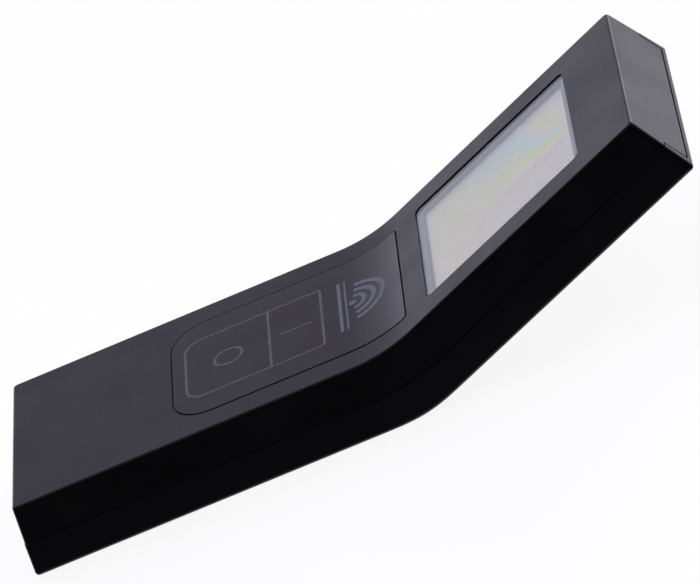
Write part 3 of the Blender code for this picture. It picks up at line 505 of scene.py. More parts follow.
def metal(name, colour, rough, brush=(1.0, 1.0, 1.0), tarnish=0.8):
    """Bare metal with fine drawn lines and duller, darker patches."""
    paint = Paint(name, Metallic=1.0)
    patch = paint.noise(3.5 * MM, detail=4.0, rough=0.6)
    dull = tuple(tarnish * channel for channel in colour)
    paint.set("Base Color", paint.ramp(patch, (0.35, dull), (0.65, colour)))
    lines = paint.noise(0.12 * MM, detail=2.0, scale=brush)
    rubbed = paint.math("ADD", paint.math("MULTIPLY", patch, 0.5), paint.math("MULTIPLY", lines, 0.5))
    paint.set("Roughness", paint.between(rubbed, 0.35, 0.65, rough - 0.08, rough + 0.1))
    paint.set("Normal", paint.bump(lines, 0.01 * MM))
    return paint.made


def lens_material():
    """Clear hard-coated sheet, with a slight waviness and very faint wipe marks."""
    paint = Paint("window_clear", Transmission_Weight=1.0, IOR=1.49)
    cloud = paint.noise(20 * MM)
    paint.set("Base Color", paint.ramp(cloud, (0.3, (0.93, 0.95, 0.95)), (0.7, (0.96, 0.96, 0.96))))
    wiped = paint.noise(1.2 * MM, detail=3.0, scale=(0.1, 1.0, 1.0), turn=(0.0, 0.0, 0.6))
    paint.set("Roughness", paint.between(wiped, 0.4, 0.8, 0.015, 0.06))
    paint.set("Normal", paint.bump(paint.noise(16 * MM, detail=0.0), 0.01 * MM))
    return paint.made


def display_material():
    """The display's face: silvery polariser, with painted sheen and painted reflection in its colour.

    The piece's UV map holds x and y of the straight layout, in millimetres. The painted sheen is a spray of
    faint interference colours, such as a polariser shows in reflected light. It opens from a point past
    the window's head end towards the keypad, and fades away from the head end. Under it, the tone is a
    painted reflection that grows paler towards the head end, and evens out to one beige towards the near
    side.
    """
    sheen_from_x = 178.0
    sheen_from_y = -5.0
    paint = Paint("lcd_face")
    uv = paint.node("UVMap", uv_map="layout")
    split = paint.tree.nodes.new("ShaderNodeSeparateXYZ")
    paint.feed(split.inputs[0], uv)
    along = split.outputs[0]
    across = split.outputs[1]
    soft = {"Vector": uv, "Scale": 0.05, "Detail": 2.0, "Roughness": 0.5}
    wander = paint.node("TexNoise", soft)
    back = paint.math("SUBTRACT", sheen_from_x, along)
    side = paint.math("SUBTRACT", across, sheen_from_y)
    angle = paint.math("MULTIPLY", paint.math("ARCTAN2", side, back), 180 / math.pi)
    angle = paint.math("ADD", angle, paint.between(wander, 0.3, 0.7, -9.0, 9.0))
    # Painted sheen: interference colours, such as a polariser shows in reflected light, painted into the
    # base colour.
    painted_sheen = paint.ramp(
        paint.between(angle, -70.0, 70.0),
        (0.00, (0.97, 0.88, 0.58)),
        (0.14, (0.81, 0.99, 0.67)),
        (0.22, (0.99, 0.81, 0.72)),
        (0.32, (0.97, 0.97, 0.68)),
        (0.39, (0.99, 0.81, 0.63)),
        (0.46, (0.93, 0.76, 0.63)),
        (0.53, (0.99, 0.99, 0.51)),
        (0.62, (0.97, 0.99, 0.35)),
        (0.68, (0.81, 0.99, 0.54)),
        (0.75, (0.71, 0.99, 0.79)),
        (0.81, (0.99, 0.97, 0.68)),
        (0.87, (0.99, 0.99, 0.44)),
        (1.00, (0.99, 0.92, 0.67)),
    )
    # Painted reflection: the display's tone grows paler towards the head end.
    plain = paint.ramp(
        paint.between(along, 119.0, 174.0),
        (0.00, (0.88, 0.86, 0.56)),
        (0.12, (0.95, 0.90, 0.49)),
        (0.55, (0.94, 0.88, 0.52)),
        (1.00, (0.99, 0.98, 0.65)),
    )
    warm = paint.mix(paint.between(across, 4.0, -22.0), plain, (0.96, 0.88, 0.57))
    # The painted sheen fades out away from the head end.
    reach = paint.between(back, 50.0, 18.0, 0.0, 1.0, "SMOOTHSTEP")
    colour = paint.mix(reach, warm, painted_sheen)
    paint.set("Base Color", colour)
    paint.set("Metallic", 0.7)
    cells = {"Vector": uv, "Scale": 2.2, "Detail": 2.0}
    paint.set("Roughness", paint.between(paint.node("TexNoise", cells), 0.3, 0.7, 0.26, 0.34))
    return paint.made


def jacket(name, band_low, band_high):
    """A cell's printed jacket: dark, with a warm band between two places across the case."""
    paint = Paint(name, Metallic=0.35)
    split = paint.tree.nodes.new("ShaderNodeSeparateXYZ")
    paint.feed(split.inputs[0], paint.place())
    y = split.outputs[1]
    past_low = paint.math("GREATER_THAN", y, band_low)
    before_high = paint.math("LESS_THAN", y, band_high)
    inside = paint.math("MULTIPLY", past_low, before_high)
    speckle = paint.noise(0.3 * MM, detail=2.0)
    dark = paint.ramp(speckle, (0.3, (0.020, 0.022, 0.026)), (0.7, (0.030, 0.032, 0.037)))
    warm = paint.ramp(speckle, (0.3, (0.52, 0.25, 0.10)), (0.7, (0.60, 0.30, 0.13)))
    paint.set("Base Color", paint.mix(inside, dark, warm))
    paint.set("Roughness", paint.between(paint.noise(4 * MM, detail=3.0), 0.3, 0.7, 0.22, 0.34))
    paint.set("Normal", paint.bump(paint.noise(6 * MM, detail=1.0), 0.03 * MM))
    return paint.made


def laminate():
    """Green solder mask over copper: traces show as slightly paler lines, with small gold lands."""
    paint = Paint("board_green")
    cells_per_metre = 620.0
    net = {"Vector": paint.place(), "Scale": cells_per_metre}
    cells = paint.node("TexVoronoi", net, output="Distance", distance="CHEBYCHEV", feature="F1")
    edge = paint.node("TexVoronoi", net, output="Distance", feature="DISTANCE_TO_EDGE")
    trace = paint.math("LESS_THAN", edge, 0.12)
    land = paint.math("LESS_THAN", cells, 0.13)
    mask = paint.ramp(paint.noise(5 * MM), (0.3, (0.006, 0.05, 0.022)), (0.7, (0.010, 0.07, 0.030)))
    lined = paint.mix(trace, mask, (0.03, 0.15, 0.06))
    paint.set("Base Color", paint.mix(land, lined, (0.62, 0.42, 0.15)))
    paint.set("Metallic", land)
    paint.set("Roughness", paint.between(paint.noise(0.6 * MM, detail=3.0), 0.3, 0.7, 0.28, 0.42))
    paint.set("Normal", paint.bump(paint.math("ADD", trace, land), 0.03 * MM))
    return paint.made


def speckled(name, dark, light, rough, size, depth, **settings):
    """A plain moulded, fired or sintered material with its own grain."""
    paint = Paint(name, **settings)
    grain = paint.noise(size, detail=4.0, rough=0.65)
    paint.set("Base Color", paint.ramp(grain, (0.32, dark), (0.68, light)))
    paint.set("Roughness", paint.between(grain, 0.3, 0.7, rough - 0.06, rough + 0.06))
    paint.set("Normal", paint.bump(grain, depth))
    return paint.made


def zebra_rubber():
    """Pink silicone with fine black conducting layers along the strip."""
    paint = Paint("zebra_rubber")
    layer_scale = 900.0
    turned_back = paint.place(turn=(0.0, BEND, 0.0))
    layers = paint.node("TexWave", {"Vector": turned_back, "Scale": layer_scale, "Distortion": 0.4})
    paint.set("Base Color", paint.ramp(layers, (0.45, (0.03, 0.02, 0.02)), (0.55, (0.62, 0.25, 0.24))))
    paint.set("Roughness", paint.between(paint.noise(0.5 * MM), 0.3, 0.7, 0.55, 0.7))
    return paint.made


# ---------------------------------------------------------------- finishes


def case_finishes():
    """The case's black plastic, for its top and for its bottom and battery door."""
    cast = dict(grain=0.16 * MM, depth=0.012 * MM)
    top = grained_plastic("case_black", (0.0055, 0.005, 0.0065), (0.0085, 0.008, 0.0095), 0.40, **cast)
    low = grained_plastic("case_black_lower", (0.005, 0.0045, 0.0085), (0.008, 0.0075, 0.012), 0.42, **cast)
    return top, low


def keypad_finishes():
    """The overlay's film, the keys' film, and the inks of the lines and of the mark."""
    cast = dict(grain=0.09 * MM, depth=0.005 * MM, scuffs=0.025)
    film = grained_plastic("keypad_film", (0.005, 0.0045, 0.006), (0.0075, 0.007, 0.009), 0.27, **cast)
    key_film = grained_plastic("key_film", (0.005, 0.0045, 0.006), (0.007, 0.0065, 0.009), 0.255, **cast)
    line_ink = printed_ink("line_ink", (0.30, 0.30, 0.34))
    mark_ink = printed_ink("mark_ink", (0.40, 0.46, 0.56))
    return film, key_film, line_ink, mark_ink


def packed_finishes():
    """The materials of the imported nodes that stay, by their slots."""
    metals = {
        "steel": metal("steel", (0.56, 0.56, 0.58), 0.28),
        "nickel": metal("nickel", (0.68, 0.65, 0.60), 0.24),
        "lcd_silver": metal("lcd_silver", (0.75, 0.75, 0.74), 0.25),
        "tube_metal": metal("tube_metal", (0.50, 0.50, 0.52), 0.34, brush=(1.0, 0.02, 1.0)),
        "brass": metal("brass", (0.72, 0.52, 0.22), 0.28),
    }
    fine = 0.005 * MM
    coarse = 0.01 * MM
    speckles = (
        ("circuit_film", (0.42, 0.46, 0.40), (0.52, 0.56, 0.50), 0.35, 1.2 * MM, coarse),
        ("component_black", (0.014, 0.014, 0.015), (0.024, 0.024, 0.026), 0.5, 0.12 * MM, coarse),
        ("connector_white", (0.62, 0.60, 0.53), (0.70, 0.68, 0.61), 0.42, 0.8 * MM, fine),
        ("ferrite", (0.035, 0.035, 0.038), (0.065, 0.065, 0.07), 0.55, 0.2 * MM, 0.02 * MM),
        ("ceramic_blue", (0.03, 0.10, 0.30), (0.05, 0.15, 0.38), 0.3, 0.9 * MM, 0.02 * MM),
        ("wire_red", (0.38, 0.012, 0.012), (0.48, 0.02, 0.02), 0.42, 0.7 * MM, fine),
        ("wire_black", (0.012, 0.012, 0.012), (0.02, 0.02, 0.02), 0.42, 0.7 * MM, fine),
    )
    others = {
        "bezel_grey": grained_plastic("bezel_grey", (0.50,) * 3, (0.56,) * 3, 0.5, 0.2 * MM, coarse),
        "lcd_glass": Paint("lcd_glass", Base_Color=(0.45, 0.47, 0.46), Roughness=0.12).made,
        "zebra_rubber": zebra_rubber(),
        "board_green": laminate(),
    }
    return {**metals, **others, **{row[0]: speckled(*row) for row in speckles}}


# ---------------------------------------------------------------- case


def top_flare(z):
    """How far the top shell's wall stands out from the top face's outline at a height."""
    return TOP_FLARE * (THICK - z) / PARTING_DEPTH


def head_flare(z):
    """The same for the wall across the head end."""
    return HEAD_FLARE * (THICK - z) / PARTING_DEPTH


def screw_places():
    return [(x, y) for x in SCREW_X for y in (-SCREW_Y, SCREW_Y)]


def outside_outline(point):
    """True on the case's outer walls."""
    return abs(point.y) > WIDTH / 2 or not START < point.x < LENGTH


def top_shell():
    ceiling = THICK - WALL
    sides = (top_flare(TONGUE_FOOT_Z), 0.0)
    head = (head_flare(TONGUE_FOOT_Z), 0.0)
    shape = outline_block((TONGUE_FOOT_Z, THICK), sides, head, CORNER, TOP_EDGE)
    cavity_sides = (top_flare(PARTING_Z) - WALL, top_flare(ceiling) - WALL)
    cavity_head = (head_flare(PARTING_Z) - WALL, head_flare(ceiling) - WALL)
    below = (-5 * MM, PARTING_Z)
    end_x = (180 * MM, HEAD_SIDE_X)
    steps = cut(
        outline_block((PARTING_Z, ceiling), cavity_sides, cavity_head),
        block((-20 * MM, TONGUE_INNER_X), (-OUTSIDE_Y, OUTSIDE_Y), below),
        block(end_x, (TONGUE_HALF, OUTSIDE_Y), below),
        block(end_x, (-OUTSIDE_Y, -TONGUE_HALF), below),
    )
    seat = 2.5 * MM
    root_z = ceiling + 0.5 * MM
    seat_x = (KEYS_X[0] - seat, KEYS_X[1] + seat)
    seat_half = KEYS_HALF + seat
    steps += join(block(seat_x, (-seat_half, seat_half), (POCKET_SEAT_Z, root_z)))
    screw_top_z = THICK - 4 * MM
    for at in screw_places():
        steps += join(rod(at, BOSS_RADIUS, (BOSS_FOOT_Z, root_z)))
        steps += cut(rod(at, SCREW_HOLE, (BOSS_FOOT_Z - MM, screw_top_z)))
    recess = outline(PAD_X, PAD_HALF, PAD_ROUND, PAD_SQUARE, PAD_GAP, 16)
    pocket = outline(KEYS_X, KEYS_HALF, KEY_ROUND, KEY_SQUARE, 0.7 * MM)
    opening = outline(WINDOW_X, WINDOW_HALF, WINDOW_ROUND, WINDOW_ROUND, WINDOW_GAP)
    steps += cut(
        slab(recess, (THICK - PAD_RECESS, THICK + MM)),
        slab(pocket, (POCKET_FLOOR_Z, THICK + 1.2 * MM)),
        slab(opening, (ceiling - MM, THICK + MM)),
    )
    shape = combined(shape, steps)

    def around_keypad(point):
        beside = PAD_X[0] - MM < point.x < PAD_X[1] + MM and abs(point.y) < PAD_HALF + MM
        return beside and abs(point.z - THICK) < CLOSE

    def soft(point):
        on_top = abs(point.z - THICK) < CLOSE and not around_keypad(point)
        parting = abs(point.z - PARTING_Z) < CLOSE and outside_outline(point)
        tongue = point.z < PARTING_Z and point.x > LENGTH
        return on_top or parting or tongue

    round_edges(shape, SOFT_EDGE, soft)
    round_edges(shape, CRISP_EDGE, around_keypad, 2)
    return round_bend(shape)


def bottom_block():
    """The bottom shell's outside; its head end is in one plane with the top shell's tongue."""
    sides = (BASE_FLARE, RIM_FLARE)
    head = (head_flare(0.0), head_flare(RIM_Z))
    return outline_block((0.0, RIM_Z), sides, head, CORNER, BASE_EDGE, edge_at_top=False)


def bottom_shell():
    lip_z = RIM_Z + LIP_HEIGHT
    outer = COMPARTMENT_HALF + COMPARTMENT_WALL
    wall = 1.6 * MM
    side_x = (wall, COMPARTMENT_END + wall)
    end_half = outer - 0.5 * MM
    wall_z = (WALL - 0.5 * MM, COMPARTMENT_TOP_Z)
    door_x = (HANDLE_SIDE_X, DOOR_END + GAP)
    door_half = DOOR_HALF + GAP
    rail_half = DOOR_HALF + RAIL_REACH + GAP
    half = TONGUE_HALF + TONGUE_GAP
    steps = join(outline_block((RIM_Z - MM, lip_z), (LIP_OUTSET, LIP_OUTSET)))
    steps += cut(
        outline_block((LIP_ROOT_Z, lip_z + MM), (LIP_INSET, LIP_INSET)),
        outline_block((WALL, LIP_ROOT_Z + 0.01 * MM), (BASE_FLARE - WALL, RIM_FLARE - WALL)),
        block((TONGUE_INNER_X - GAP, HEAD_SIDE_X), (-half, half), (TONGUE_FOOT_Z - TONGUE_GAP, THICK)),
    )
    steps += join(
        block(side_x, (-outer, -COMPARTMENT_HALF), wall_z),
        block(side_x, (COMPARTMENT_HALF, outer), wall_z),
        block((COMPARTMENT_END, COMPARTMENT_END + wall), (-end_half, end_half), wall_z),
    )
    steps += cut(
        block(door_x, (-door_half, door_half), (-MM, 2.1 * MM)),
        block(door_x, (-rail_half, rail_half), (0.7 * MM, 2.05 * MM)),
    )
    for at in screw_places():
        steps += join(rod(at, PILLAR_RADIUS, (MM, PILLAR_TOP_Z)))
        steps += cut(
            rod(at, BOSS_RADIUS + GAP, (PILLAR_TOP_Z, THICK)),
            rod(at, HEAD_RECESS, (-MM, SEAT_Z)),
            rod(at, SCREW_HOLE, (SEAT_Z - 0.5 * MM, THICK)),
        )
    shape = combined(bottom_block(), steps)

    def soft(point):
        rim = abs(point.z - RIM_Z) < CLOSE and outside_outline(point)
        cut_out = point.x > LENGTH and point.z < RIM_Z and abs(point.y) < half + CLOSE
        underside = point.z < CLOSE
        return rim or cut_out or underside

    round_edges(shape, SOFT_EDGE, soft)
    return round_bend(shape)


def battery_door():
    """A flat door that slides off over the handle end, with a rail along each side."""
    keep = block((HANDLE_SIDE_X, DOOR_END), (-DOOR_HALF, DOOR_HALF), (-MM, DOOR_THICK))
    rail_half = DOOR_HALF + RAIL_REACH
    rails = block((2 * MM, DOOR_END - 2 * MM), (-rail_half, rail_half), (MM, 1.7 * MM))
    steps = [("INTERSECT", keep)] + join(rails)
    grooves = 5
    groove_width = 1.2 * MM
    groove_half = 9 * MM
    groove_round = 0.59 * MM
    groove_depth = 0.4 * MM
    for index in range(grooves):
        start = (4.0 + 2.6 * index) * MM
        groove_x = (start, start + groove_width)
        groove = outline(groove_x, groove_half, groove_round, groove_round)
        steps += cut(slab(groove, (-MM, groove_depth)))
    shape = combined(bottom_block(), steps)
    return round_edges(shape, SOFT_EDGE, lambda point: point.z < 0.9 * MM)


def cross_screw():
    """A case screw, head down, with a cross recess in its head."""
    head_radius = 2.6 * MM
    shank_radius = 1.3 * MM
    profile = [
        (0.0, 13.0 * MM),
        (0.9 * MM, 12.7 * MM),
        (shank_radius, 11.8 * MM),
        (shank_radius, 3.75 * MM),
        (head_radius, 3.75 * MM),
        (head_radius, 2.7 * MM),
        (2.45 * MM, 2.4 * MM),
        (2.1 * MM, 2.1 * MM),
        (1.5 * MM, 1.95 * MM),
        (0.0, 1.9 * MM),
    ]
    arm = 1.35 * MM
    thin = 0.3 * MM
    z = (1.0 * MM, 3.1 * MM)
    recess = cut(block((-arm, arm), (-thin, thin), z), block((-thin, thin), (-arm, arm), z))
    head_z = 2.2 * MM
    return round_edges(combined(turned(profile), recess), 0.06 * MM, lambda point: point.z < head_z, 2)


def build_case(black, black_low, steel):
    door = "battery_door"
    piece("case_top", top_shell(), black, replaces=["top_shell"])
    piece("case_bottom", bottom_shell(), black_low, replaces=["bottom_shell"])
    piece("battery_cover", battery_door(), black_low, body=door, replaces=[door])
    for index, (x, y) in enumerate(screw_places()):
        place = HANDLE if x < BEND_START else HEAD
        node = f"case_screw_{index + 1}"
        at = place @ Matrix.Translation((x, y, 0.0)) @ Matrix.Rotation(0.6 + 0.9 * index, 4, "Z")
        piece(f"cross_screw_{index + 1}", cross_screw(), steel, at, replaces=[node])


# ---------------------------------------------------------------- keypad


def key_cap(x, near, far):
    points = outline(x, KEYS_HALF - GAP / 2, near, far)
    shape = slab(points, (PAD_TOP_Z - KEY_THICK, PAD_TOP_Z))
    return round_edges(shape, FILM_EDGE, lambda point: point.z > PAD_TOP_Z - CLOSE, 2)


def overlay():
    outer = outline(PAD_X, PAD_HALF, PAD_ROUND, PAD_SQUARE, 0.0, 16)
    opening = outline(KEYS_X, KEYS_HALF, KEY_ROUND, KEY_SQUARE, GAP / 2)
    film = slab(outer, (PAD_TOP_Z - PAD_FILM, PAD_TOP_Z))
    shape = combined(film, cut(slab(opening, (THICK - MM, THICK + MM))))
    round_edges(shape, FILM_EDGE, lambda point: point.z > PAD_TOP_Z - CLOSE, 2)
    return round_bend(shape)


def printed_arc(centre, radius, half_width, start, end, steps=40):
    """A printed arc about a centre, as a strip that can then go round the bend."""
    angles = [start + (end - start) * step / steps for step in range(steps + 1)]
    sides = []
    for reach in (radius + half_width, radius - half_width):
        sides.append([(centre[0] + reach * math.cos(a), centre[1] + reach * math.sin(a)) for a in angles])
    return band(*sides, INK_Z, closed=False)


def printed_rule(low, high, middle_y, half):
    """A printed bar across the case, with slightly rounded ends."""
    points = outline((low, high), half, 0.25 * MM, 0.25 * MM, steps=4)
    return slab([(x, y + middle_y) for x, y in points], INK_Z)


def signal_mark():
    """A plain mark: a dot, three arcs spreading towards the head, and two rules under them."""
    middle_y = 1.0 * MM
    centre = (96.6 * MM, middle_y)
    spread = math.radians(84)
    arc_radii = (3.4 * MM, 6.3 * MM, 9.2 * MM)
    arc_half = 0.72 * MM
    dot_radius = 1.1 * MM
    rule_half = 13.4 * MM
    strips = [printed_arc(centre, radius, arc_half, -spread, spread) for radius in arc_radii]
    strips.append(slab(circle(centre, dot_radius, 32), INK_Z))
    strips.append(printed_rule(92.6 * MM, 93.5 * MM, middle_y, rule_half))
    strips.append(printed_rule(94.5 * MM, 95.0 * MM, middle_y, rule_half))
    return strips


def build_keypad(film, key_film, line_ink, mark_ink):
    piece("keypad_film", overlay(), film, replaces=["keypad_overlay"])
    split_round = 0.4 * MM
    keys = (
        ("off", OFF_KEY_X, KEY_ROUND - GAP / 2, split_round),
        ("on", ON_KEY_X, split_round, KEY_SQUARE - GAP / 2),
    )
    for name, x, near, far in keys:
        body = f"{name}_key"
        cap = key_cap(x, near, far)
        piece(f"{name}_key_cap", cap, key_film, body=body, replaces=[body])
    border = [outline(KEYS_X, KEYS_HALF, KEY_ROUND, KEY_SQUARE, side) for side in (LINE_HALF, -LINE_HALF)]
    piece("key_border", band(*border, INK_Z), line_ink)
    divider_half = KEYS_HALF - LINE_HALF - 0.02 * MM
    divider_x = (KEYS_SPLIT - LINE_HALF, KEYS_SPLIT + LINE_HALF)
    piece("key_divider", block(divider_x, (-divider_half, divider_half), INK_Z), line_ink)
    ring_centre = (61.3 * MM, 0.0)
    ring = [circle(ring_centre, 3.9 * MM + side, 64) for side in (0.4 * MM, -0.4 * MM)]
    piece("off_symbol", band(*ring, INK_Z), line_ink, body="off_key")
    bar = outline((75.7 * MM, 85.0 * MM), 0.28 * MM, 0.2 * MM, 0.2 * MM, steps=4)
    piece("on_symbol", slab(bar, INK_Z), line_ink, body="on_key")
    for index, strip in enumerate(signal_mark()):
        piece(f"signal_mark_{index + 1}", round_bend(strip), mark_ink)


def dome_curve(radius, height, steps=8):
    """A dome's (radius, height) points, from its top to its rim."""
    shares = [step / steps for step in range(steps + 1)]
    return [(radius * share, height * (1 - share**2)) for share in shares]


def build_domes(nickel):
    """The keys' snap domes. A real dome flattens as its key goes down; these keep their shape and ride on
    the case.
    """
    profile = dome_curve(5.0 * MM, 0.9 * MM) + dome_curve(4.6 * MM, 0.7 * MM)[::-1]
    for name, span in (("off", OFF_KEY_X), ("on", ON_KEY_X)):
        at = HANDLE @ Matrix.Translation((sum(span) / 2, 0.0, DOME_Z))
        node = f"{name}_dome"
        dome = piece(f"{name}_snap_dome", turned(profile), nickel, at, replaces=[node])
        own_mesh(dome)


# ---------------------------------------------------------------- display


def build_display(lens, face):
    sheet = outline(WINDOW_X, WINDOW_HALF, WINDOW_ROUND, WINDOW_ROUND)
    glass = slab(sheet, (LENS_TOP_Z - LENS_THICK, LENS_TOP_Z))
    round_edges(glass, 0.2 * MM, lambda point: point.z > LENS_TOP_Z - CLOSE)
    piece("window_sheet", glass, lens, HEAD, replaces=["window_lens"])
    border = 1.2 * MM
    face_x = (WINDOW_X[0] + border, WINDOW_X[1] - border)
    face_half = WINDOW_HALF - border - 1.5 * MM
    shape = block(face_x, (-face_half, face_half), (LCD_TOP_Z - LCD_GLASS, LCD_TOP_Z))
    round_edges(shape, 0.1 * MM, lambda point: point.z > LCD_TOP_Z - CLOSE)
    layout = shape.loops.layers.uv.new("layout")
    for side in shape.faces:
        for loop in side.loops:
            loop[layout].uv = (loop.vert.co.x / MM, loop.vert.co.y / MM)
    piece("display_face", shape, face, HEAD, replaces=["lcd_front_glass"])


# ---------------------------------------------------------------- cells


def build_cells(steel):
    """Two AA cells: a can with its raised contact, and a jacket that turns over the can's shoulder."""
    skin = 0.12 * MM
    band_length = 17 * MM
    can = [
        (0.0, CELL_HALF),
        (2.3 * MM, CELL_HALF),
        (2.7 * MM, CELL_HALF - 0.3 * MM),
        (2.7 * MM, CELL_HALF - 1.0 * MM),
        (5.2 * MM, CELL_HALF - 1.1 * MM),
        (6.0 * MM, CELL_HALF - 0.9 * MM),
        (6.9 * MM, CELL_HALF - 1.3 * MM),
        (7.1 * MM, CELL_HALF - 1.9 * MM),
        (7.1 * MM, 1.0 * MM - CELL_HALF),
        (6.6 * MM, 0.3 * MM - CELL_HALF),
        (5.0 * MM, 0.1 * MM - CELL_HALF),
        (4.6 * MM, -CELL_HALF),
        (0.0, -CELL_HALF),
    ]
    top = CELL_HALF - 1.5 * MM
    foot = 0.5 * MM - CELL_HALF
    sleeve = [
        (6.3 * MM, top + 0.62 * MM),
        (6.9 * MM, top + 0.36 * MM),
        (7.15 * MM, top),
        (CELL_RADIUS, top - 0.5 * MM),
        (CELL_RADIUS, foot + 0.7 * MM),
        (7.1 * MM, foot + 0.2 * MM),
        (6.5 * MM, foot - 0.32 * MM),
        (6.3 * MM, foot - 0.2 * MM),
        (CELL_RADIUS - skin, foot + 0.8 * MM),
        (CELL_RADIUS - skin, top - 0.6 * MM),
        (6.3 * MM, top + 0.5 * MM),
        (6.3 * MM, top + 0.62 * MM),
    ]
    for index, (x, way) in enumerate(((11.2 * MM, 1), (27.4 * MM, -1))):
        at = HANDLE @ Matrix.Translation((x, way * CELL_SHIFT, CELL_Z))
        at = at @ Matrix.Rotation(-way * math.pi / 2, 4, "X")
        positive_end = way * (CELL_SHIFT + CELL_HALF)
        ends = sorted((positive_end, positive_end - way * band_length))
        number = index + 1
        wrap = jacket(f"cell_jacket_{number}", *ends)
        piece(f"cell_can_{number}", turned(can, 64), steel, at, replaces=[f"cell_{number}"])
        piece(f"cell_sleeve_{number}", turned(sleeve, 64), wrap, at)


# ---------------------------------------------------------------- carried-over nodes


def smooth_by_angle():
    """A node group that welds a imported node's split triangles and shades it smooth between creases."""
    group = bpy.data.node_groups.new("smooth_by_angle", "GeometryNodeTree")
    group.interface.new_socket("Geometry", in_out="INPUT", socket_type="NodeSocketGeometry")
    group.interface.new_socket("Geometry", in_out="OUTPUT", socket_type="NodeSocketGeometry")
    nodes = group.nodes
    link = group.links.new
    entry = nodes.new("NodeGroupInput")
    leave = nodes.new("NodeGroupOutput")
    weld = nodes.new("GeometryNodeMergeByDistance")
    weld.inputs["Distance"].default_value = 1e-6
    faces = nodes.new("GeometryNodeSetShadeSmooth")
    faces.domain = "FACE"
    faces.inputs["Shade Smooth"].default_value = True
    edges = nodes.new("GeometryNodeSetShadeSmooth")
    edges.domain = "EDGE"
    angle = nodes.new("GeometryNodeInputMeshEdgeAngle")
    flat = nodes.new("FunctionNodeCompare")
    flat.operation = "LESS_THAN"
    flat.inputs[1].default_value = CREASE
    link(entry.outputs[0], weld.inputs["Geometry"])
    link(weld.outputs[0], faces.inputs["Geometry"])
    link(faces.outputs[0], edges.inputs["Geometry"])
    link(angle.outputs["Unsigned Angle"], flat.inputs[0])
    link(flat.outputs[0], edges.inputs["Shade Smooth"])
    link(edges.outputs[0], leave.inputs[0])
    return group


def dress_nodes(finishes):
    """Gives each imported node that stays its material, smooth shading and softened edges."""
    group = smooth_by_angle()
    boxy = (
        "board",
        "socket",
        "microcontroller",
        "connector",
        "header",
        "bezel",
        "contact_",
        "glass",
        "reflector",
        "zebra",
    )
    for name, node in frame["nodes"].items():
        if node.hide_render:
            continue
        slot = node.material_slots[0].material.name.split(".")[0]
        node.data.materials[0] = finishes[slot]
        shading = node.modifiers.new("shading", "NODES")
        shading.node_group = group
        if any(word in name for word in boxy) and "screw" not in name and "spring" not in name:
            soften = node.modifiers.new("soften", "BEVEL")
            soften.width = 0.06 * MM
            soften.segments = 2
            soften.limit_method = "ANGLE"
            soften.angle_limit = math.radians(40)
        normals = node.modifiers.new("normals", "WEIGHTED_NORMAL")
        normals.keep_sharp = True


# ---------------------------------------------------------------- studio


def make_camera():
    """The photograph's view: from the near side and above, rolled so that the case climbs."""
    azimuth = math.radians(9.03)
    elevation = math.radians(25.54)
    roll = math.radians(-26.46)
    distance = 1.4249
    target = Vector((1.66, -1.14, 24.07)) * MM
    level = math.cos(elevation)
    back = Vector((math.sin(azimuth) * level, -math.cos(azimuth) * level, math.sin(elevation)))
    side = Vector((math.cos(azimuth), math.sin(azimuth), 0.0))
    up = back.cross(side)
    right = math.cos(roll) * side + math.sin(roll) * up
    camera = bpy.data.objects.new("camera", bpy.data.cameras.new("camera"))
    bpy.context.scene.collection.objects.link(camera)
    camera.data.sensor_width = 36.0
    camera.data.lens = 284.83
    turn = Matrix((right, back.cross(right), back)).transposed().to_4x4()
    camera.matrix_world = Matrix.Translation(target + distance * back) @ turn
    bpy.context.scene.camera = camera


def stage_piece(name, shape, finish):
    made = loose_object(shape, name)
    made.data.materials.append(finish)
    made.visible_glossy = False
    made.visible_diffuse = False
    made.visible_transmission = False
    made.visible_shadow = False
    return made


def make_floor():
    """A plain pale floor that shows the object's soft shadow, and isn't seen from below."""
    paint = Paint("studio_floor", Roughness=0.9, Emission_Strength=0.89)
    paint.set("Specular IOR Level", 0.0)
    paint.set("Emission Color", (1.0, 1.0, 1.0))
    tone = paint.ramp(paint.noise(0.4, detail=2.0), (0.3, (0.42, 0.42, 0.42)), (0.7, (0.45, 0.45, 0.45)))
    paint.set("Base Color", tone)
    tree = paint.tree
    clear = tree.nodes.new("ShaderNodeBsdfTransparent")
    choose = tree.nodes.new("ShaderNodeMixShader")
    underside = paint.node("NewGeometry", output="Backfacing")
    paint.feed(choose.inputs[0], underside)
    tree.links.new(paint.shader.outputs[0], choose.inputs[1])
    tree.links.new(clear.outputs[0], choose.inputs[2])
    tree.links.new(choose.outputs[0], tree.nodes["Material Output"].inputs[0])
    shape = bmesh.new()
    bmesh.ops.create_circle(shape, cap_ends=True, segments=96, radius=5.0)
    bmesh.ops.translate(shape, vec=(0.0, 0.0, -0.1 * MM), verts=shape.verts)
    stage_piece("studio_floor", shape, paint.made)


def make_backdrop():
    """A plain pale surround."""
    paint = Paint("studio_backdrop", Roughness=1.0, Emission_Strength=0.9)
    paint.set("Specular IOR Level", 0.0)
    paint.set("Base Color", (0.0, 0.0, 0.0))
    paint.set("Emission Color", (1.0, 1.0, 1.0))
    shape = bmesh.new()
    bmesh.ops.create_icosphere(shape, subdivisions=4, radius=5.5)
    stage_piece("studio_backdrop", shape, paint.made)


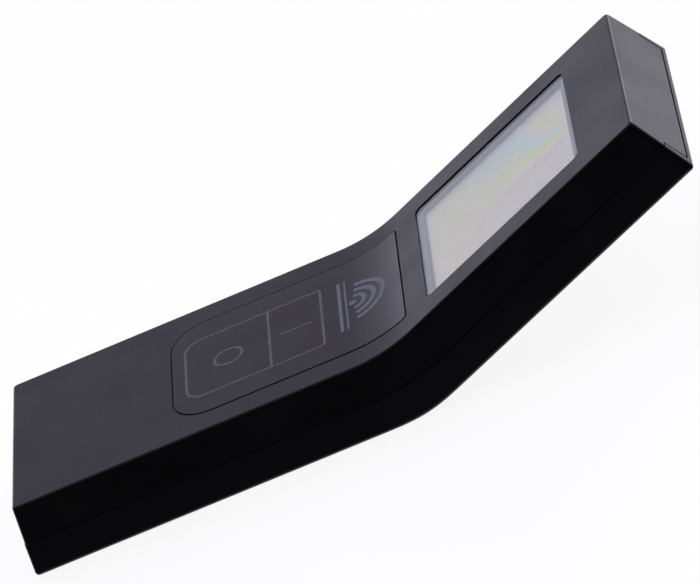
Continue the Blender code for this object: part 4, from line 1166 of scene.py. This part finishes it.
class Sky:
    """Short calls for the nodes of the studio's light."""

    def __init__(self, tree):
        self.tree = tree

    def node(self, kind, inputs, output=0, **settings):
        made = self.tree.nodes.new("ShaderNode" + kind)
        for key, value in settings.items():
            setattr(made, key, value)
        for key, value in inputs.items():
            if isinstance(value, bpy.types.NodeSocket):
                self.tree.links.new(value, made.inputs[key])
            else:
                made.inputs[key].default_value = value
        return made.outputs[output]

    def ease(self, value, low, high, to_high=1.0):
        values = {0: value, 1: low, 2: high, 3: 0.0, 4: to_high}
        return self.node("MapRange", values, interpolation_type="SMOOTHSTEP")

    def by_height(self, height, stops):
        """A colour from (height of the direction, colour) stops."""
        made = self.tree.nodes.new("ShaderNodeValToRGB")
        elements = made.color_ramp.elements
        while len(elements) < len(stops):
            elements.new(0.5)
        for element, (level, colour) in zip(elements, stops):
            element.position = 0.5 + 0.5 * level
            element.color = (*colour, 1.0)
        share = self.node("MapRange", {0: height, 1: -1.0, 2: 1.0})
        self.tree.links.new(share, made.inputs[0])
        return made.outputs[0]


def make_sky():
    """Soft studio light: a bright low band and a lamp panel behind the case, a dim room before it."""
    world = bpy.data.worlds.new("studio_light")
    bpy.context.scene.world = world
    world.use_nodes = True
    sky = Sky(world.node_tree)
    direction = sky.node("TexCoord", {}, output="Generated")
    split = sky.tree.nodes.new("ShaderNodeSeparateXYZ")
    sky.tree.links.new(direction, split.inputs[0])
    height = split.outputs[2]
    behind = sky.by_height(
        height,
        (
            (-1.0, (0.80, 0.80, 0.90)),
            (-0.12, (0.90, 0.88, 0.97)),
            (0.0, (0.86, 0.84, 0.98)),
            (0.2, (0.79, 0.80, 0.99)),
            (0.42, (0.25, 0.215, 0.30)),
            (1.0, (0.25, 0.24, 0.30)),
        ),
    )
    front = sky.by_height(
        height,
        (
            (-1.0, (0.95, 0.90, 0.90)),
            (-0.8, (0.35, 0.34, 0.36)),
            (-0.55, (0.06, 0.058, 0.07)),
            (-0.35, (0.012, 0.012, 0.017)),
            (-0.1, (0.004, 0.004, 0.006)),
            (0.2, (0.005, 0.005, 0.007)),
            (0.6, (0.03, 0.03, 0.036)),
            (1.0, (0.25, 0.24, 0.30)),
        ),
    )
    rear = sky.ease(split.outputs[1], -0.02, 0.75)
    room = sky.node("Mix", {0: rear, 6: front, 7: behind}, output=2, data_type="RGBA")
    panel_way = {0: direction, 1: (0.357, 0.891, 0.281)}
    toward = sky.node("VectorMath", panel_way, output=1, operation="DOT_PRODUCT")
    panel = sky.ease(toward, 0.978, 0.993, 3.4)
    glow = sky.node("VectorMath", {0: room, 1: panel}, operation="ADD")
    shader = sky.tree.nodes["Background"]
    sky.tree.links.new(glow, shader.inputs[0])
    shader.inputs[1].default_value = 1.25


# ---------------------------------------------------------------- build

for item in list(bpy.data.objects):
    bpy.data.objects.remove(item, do_unlink=True)
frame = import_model()
bpy.context.scene.view_settings.view_transform = "Standard"

make_camera()
make_floor()
make_backdrop()
make_sky()
FINISHES = packed_finishes()
build_case(*case_finishes(), FINISHES["steel"])
build_keypad(*keypad_finishes())
build_domes(FINISHES["nickel"])
build_display(lens_material(), display_material())
build_cells(FINISHES["steel"])
dress_nodes(FINISHES)
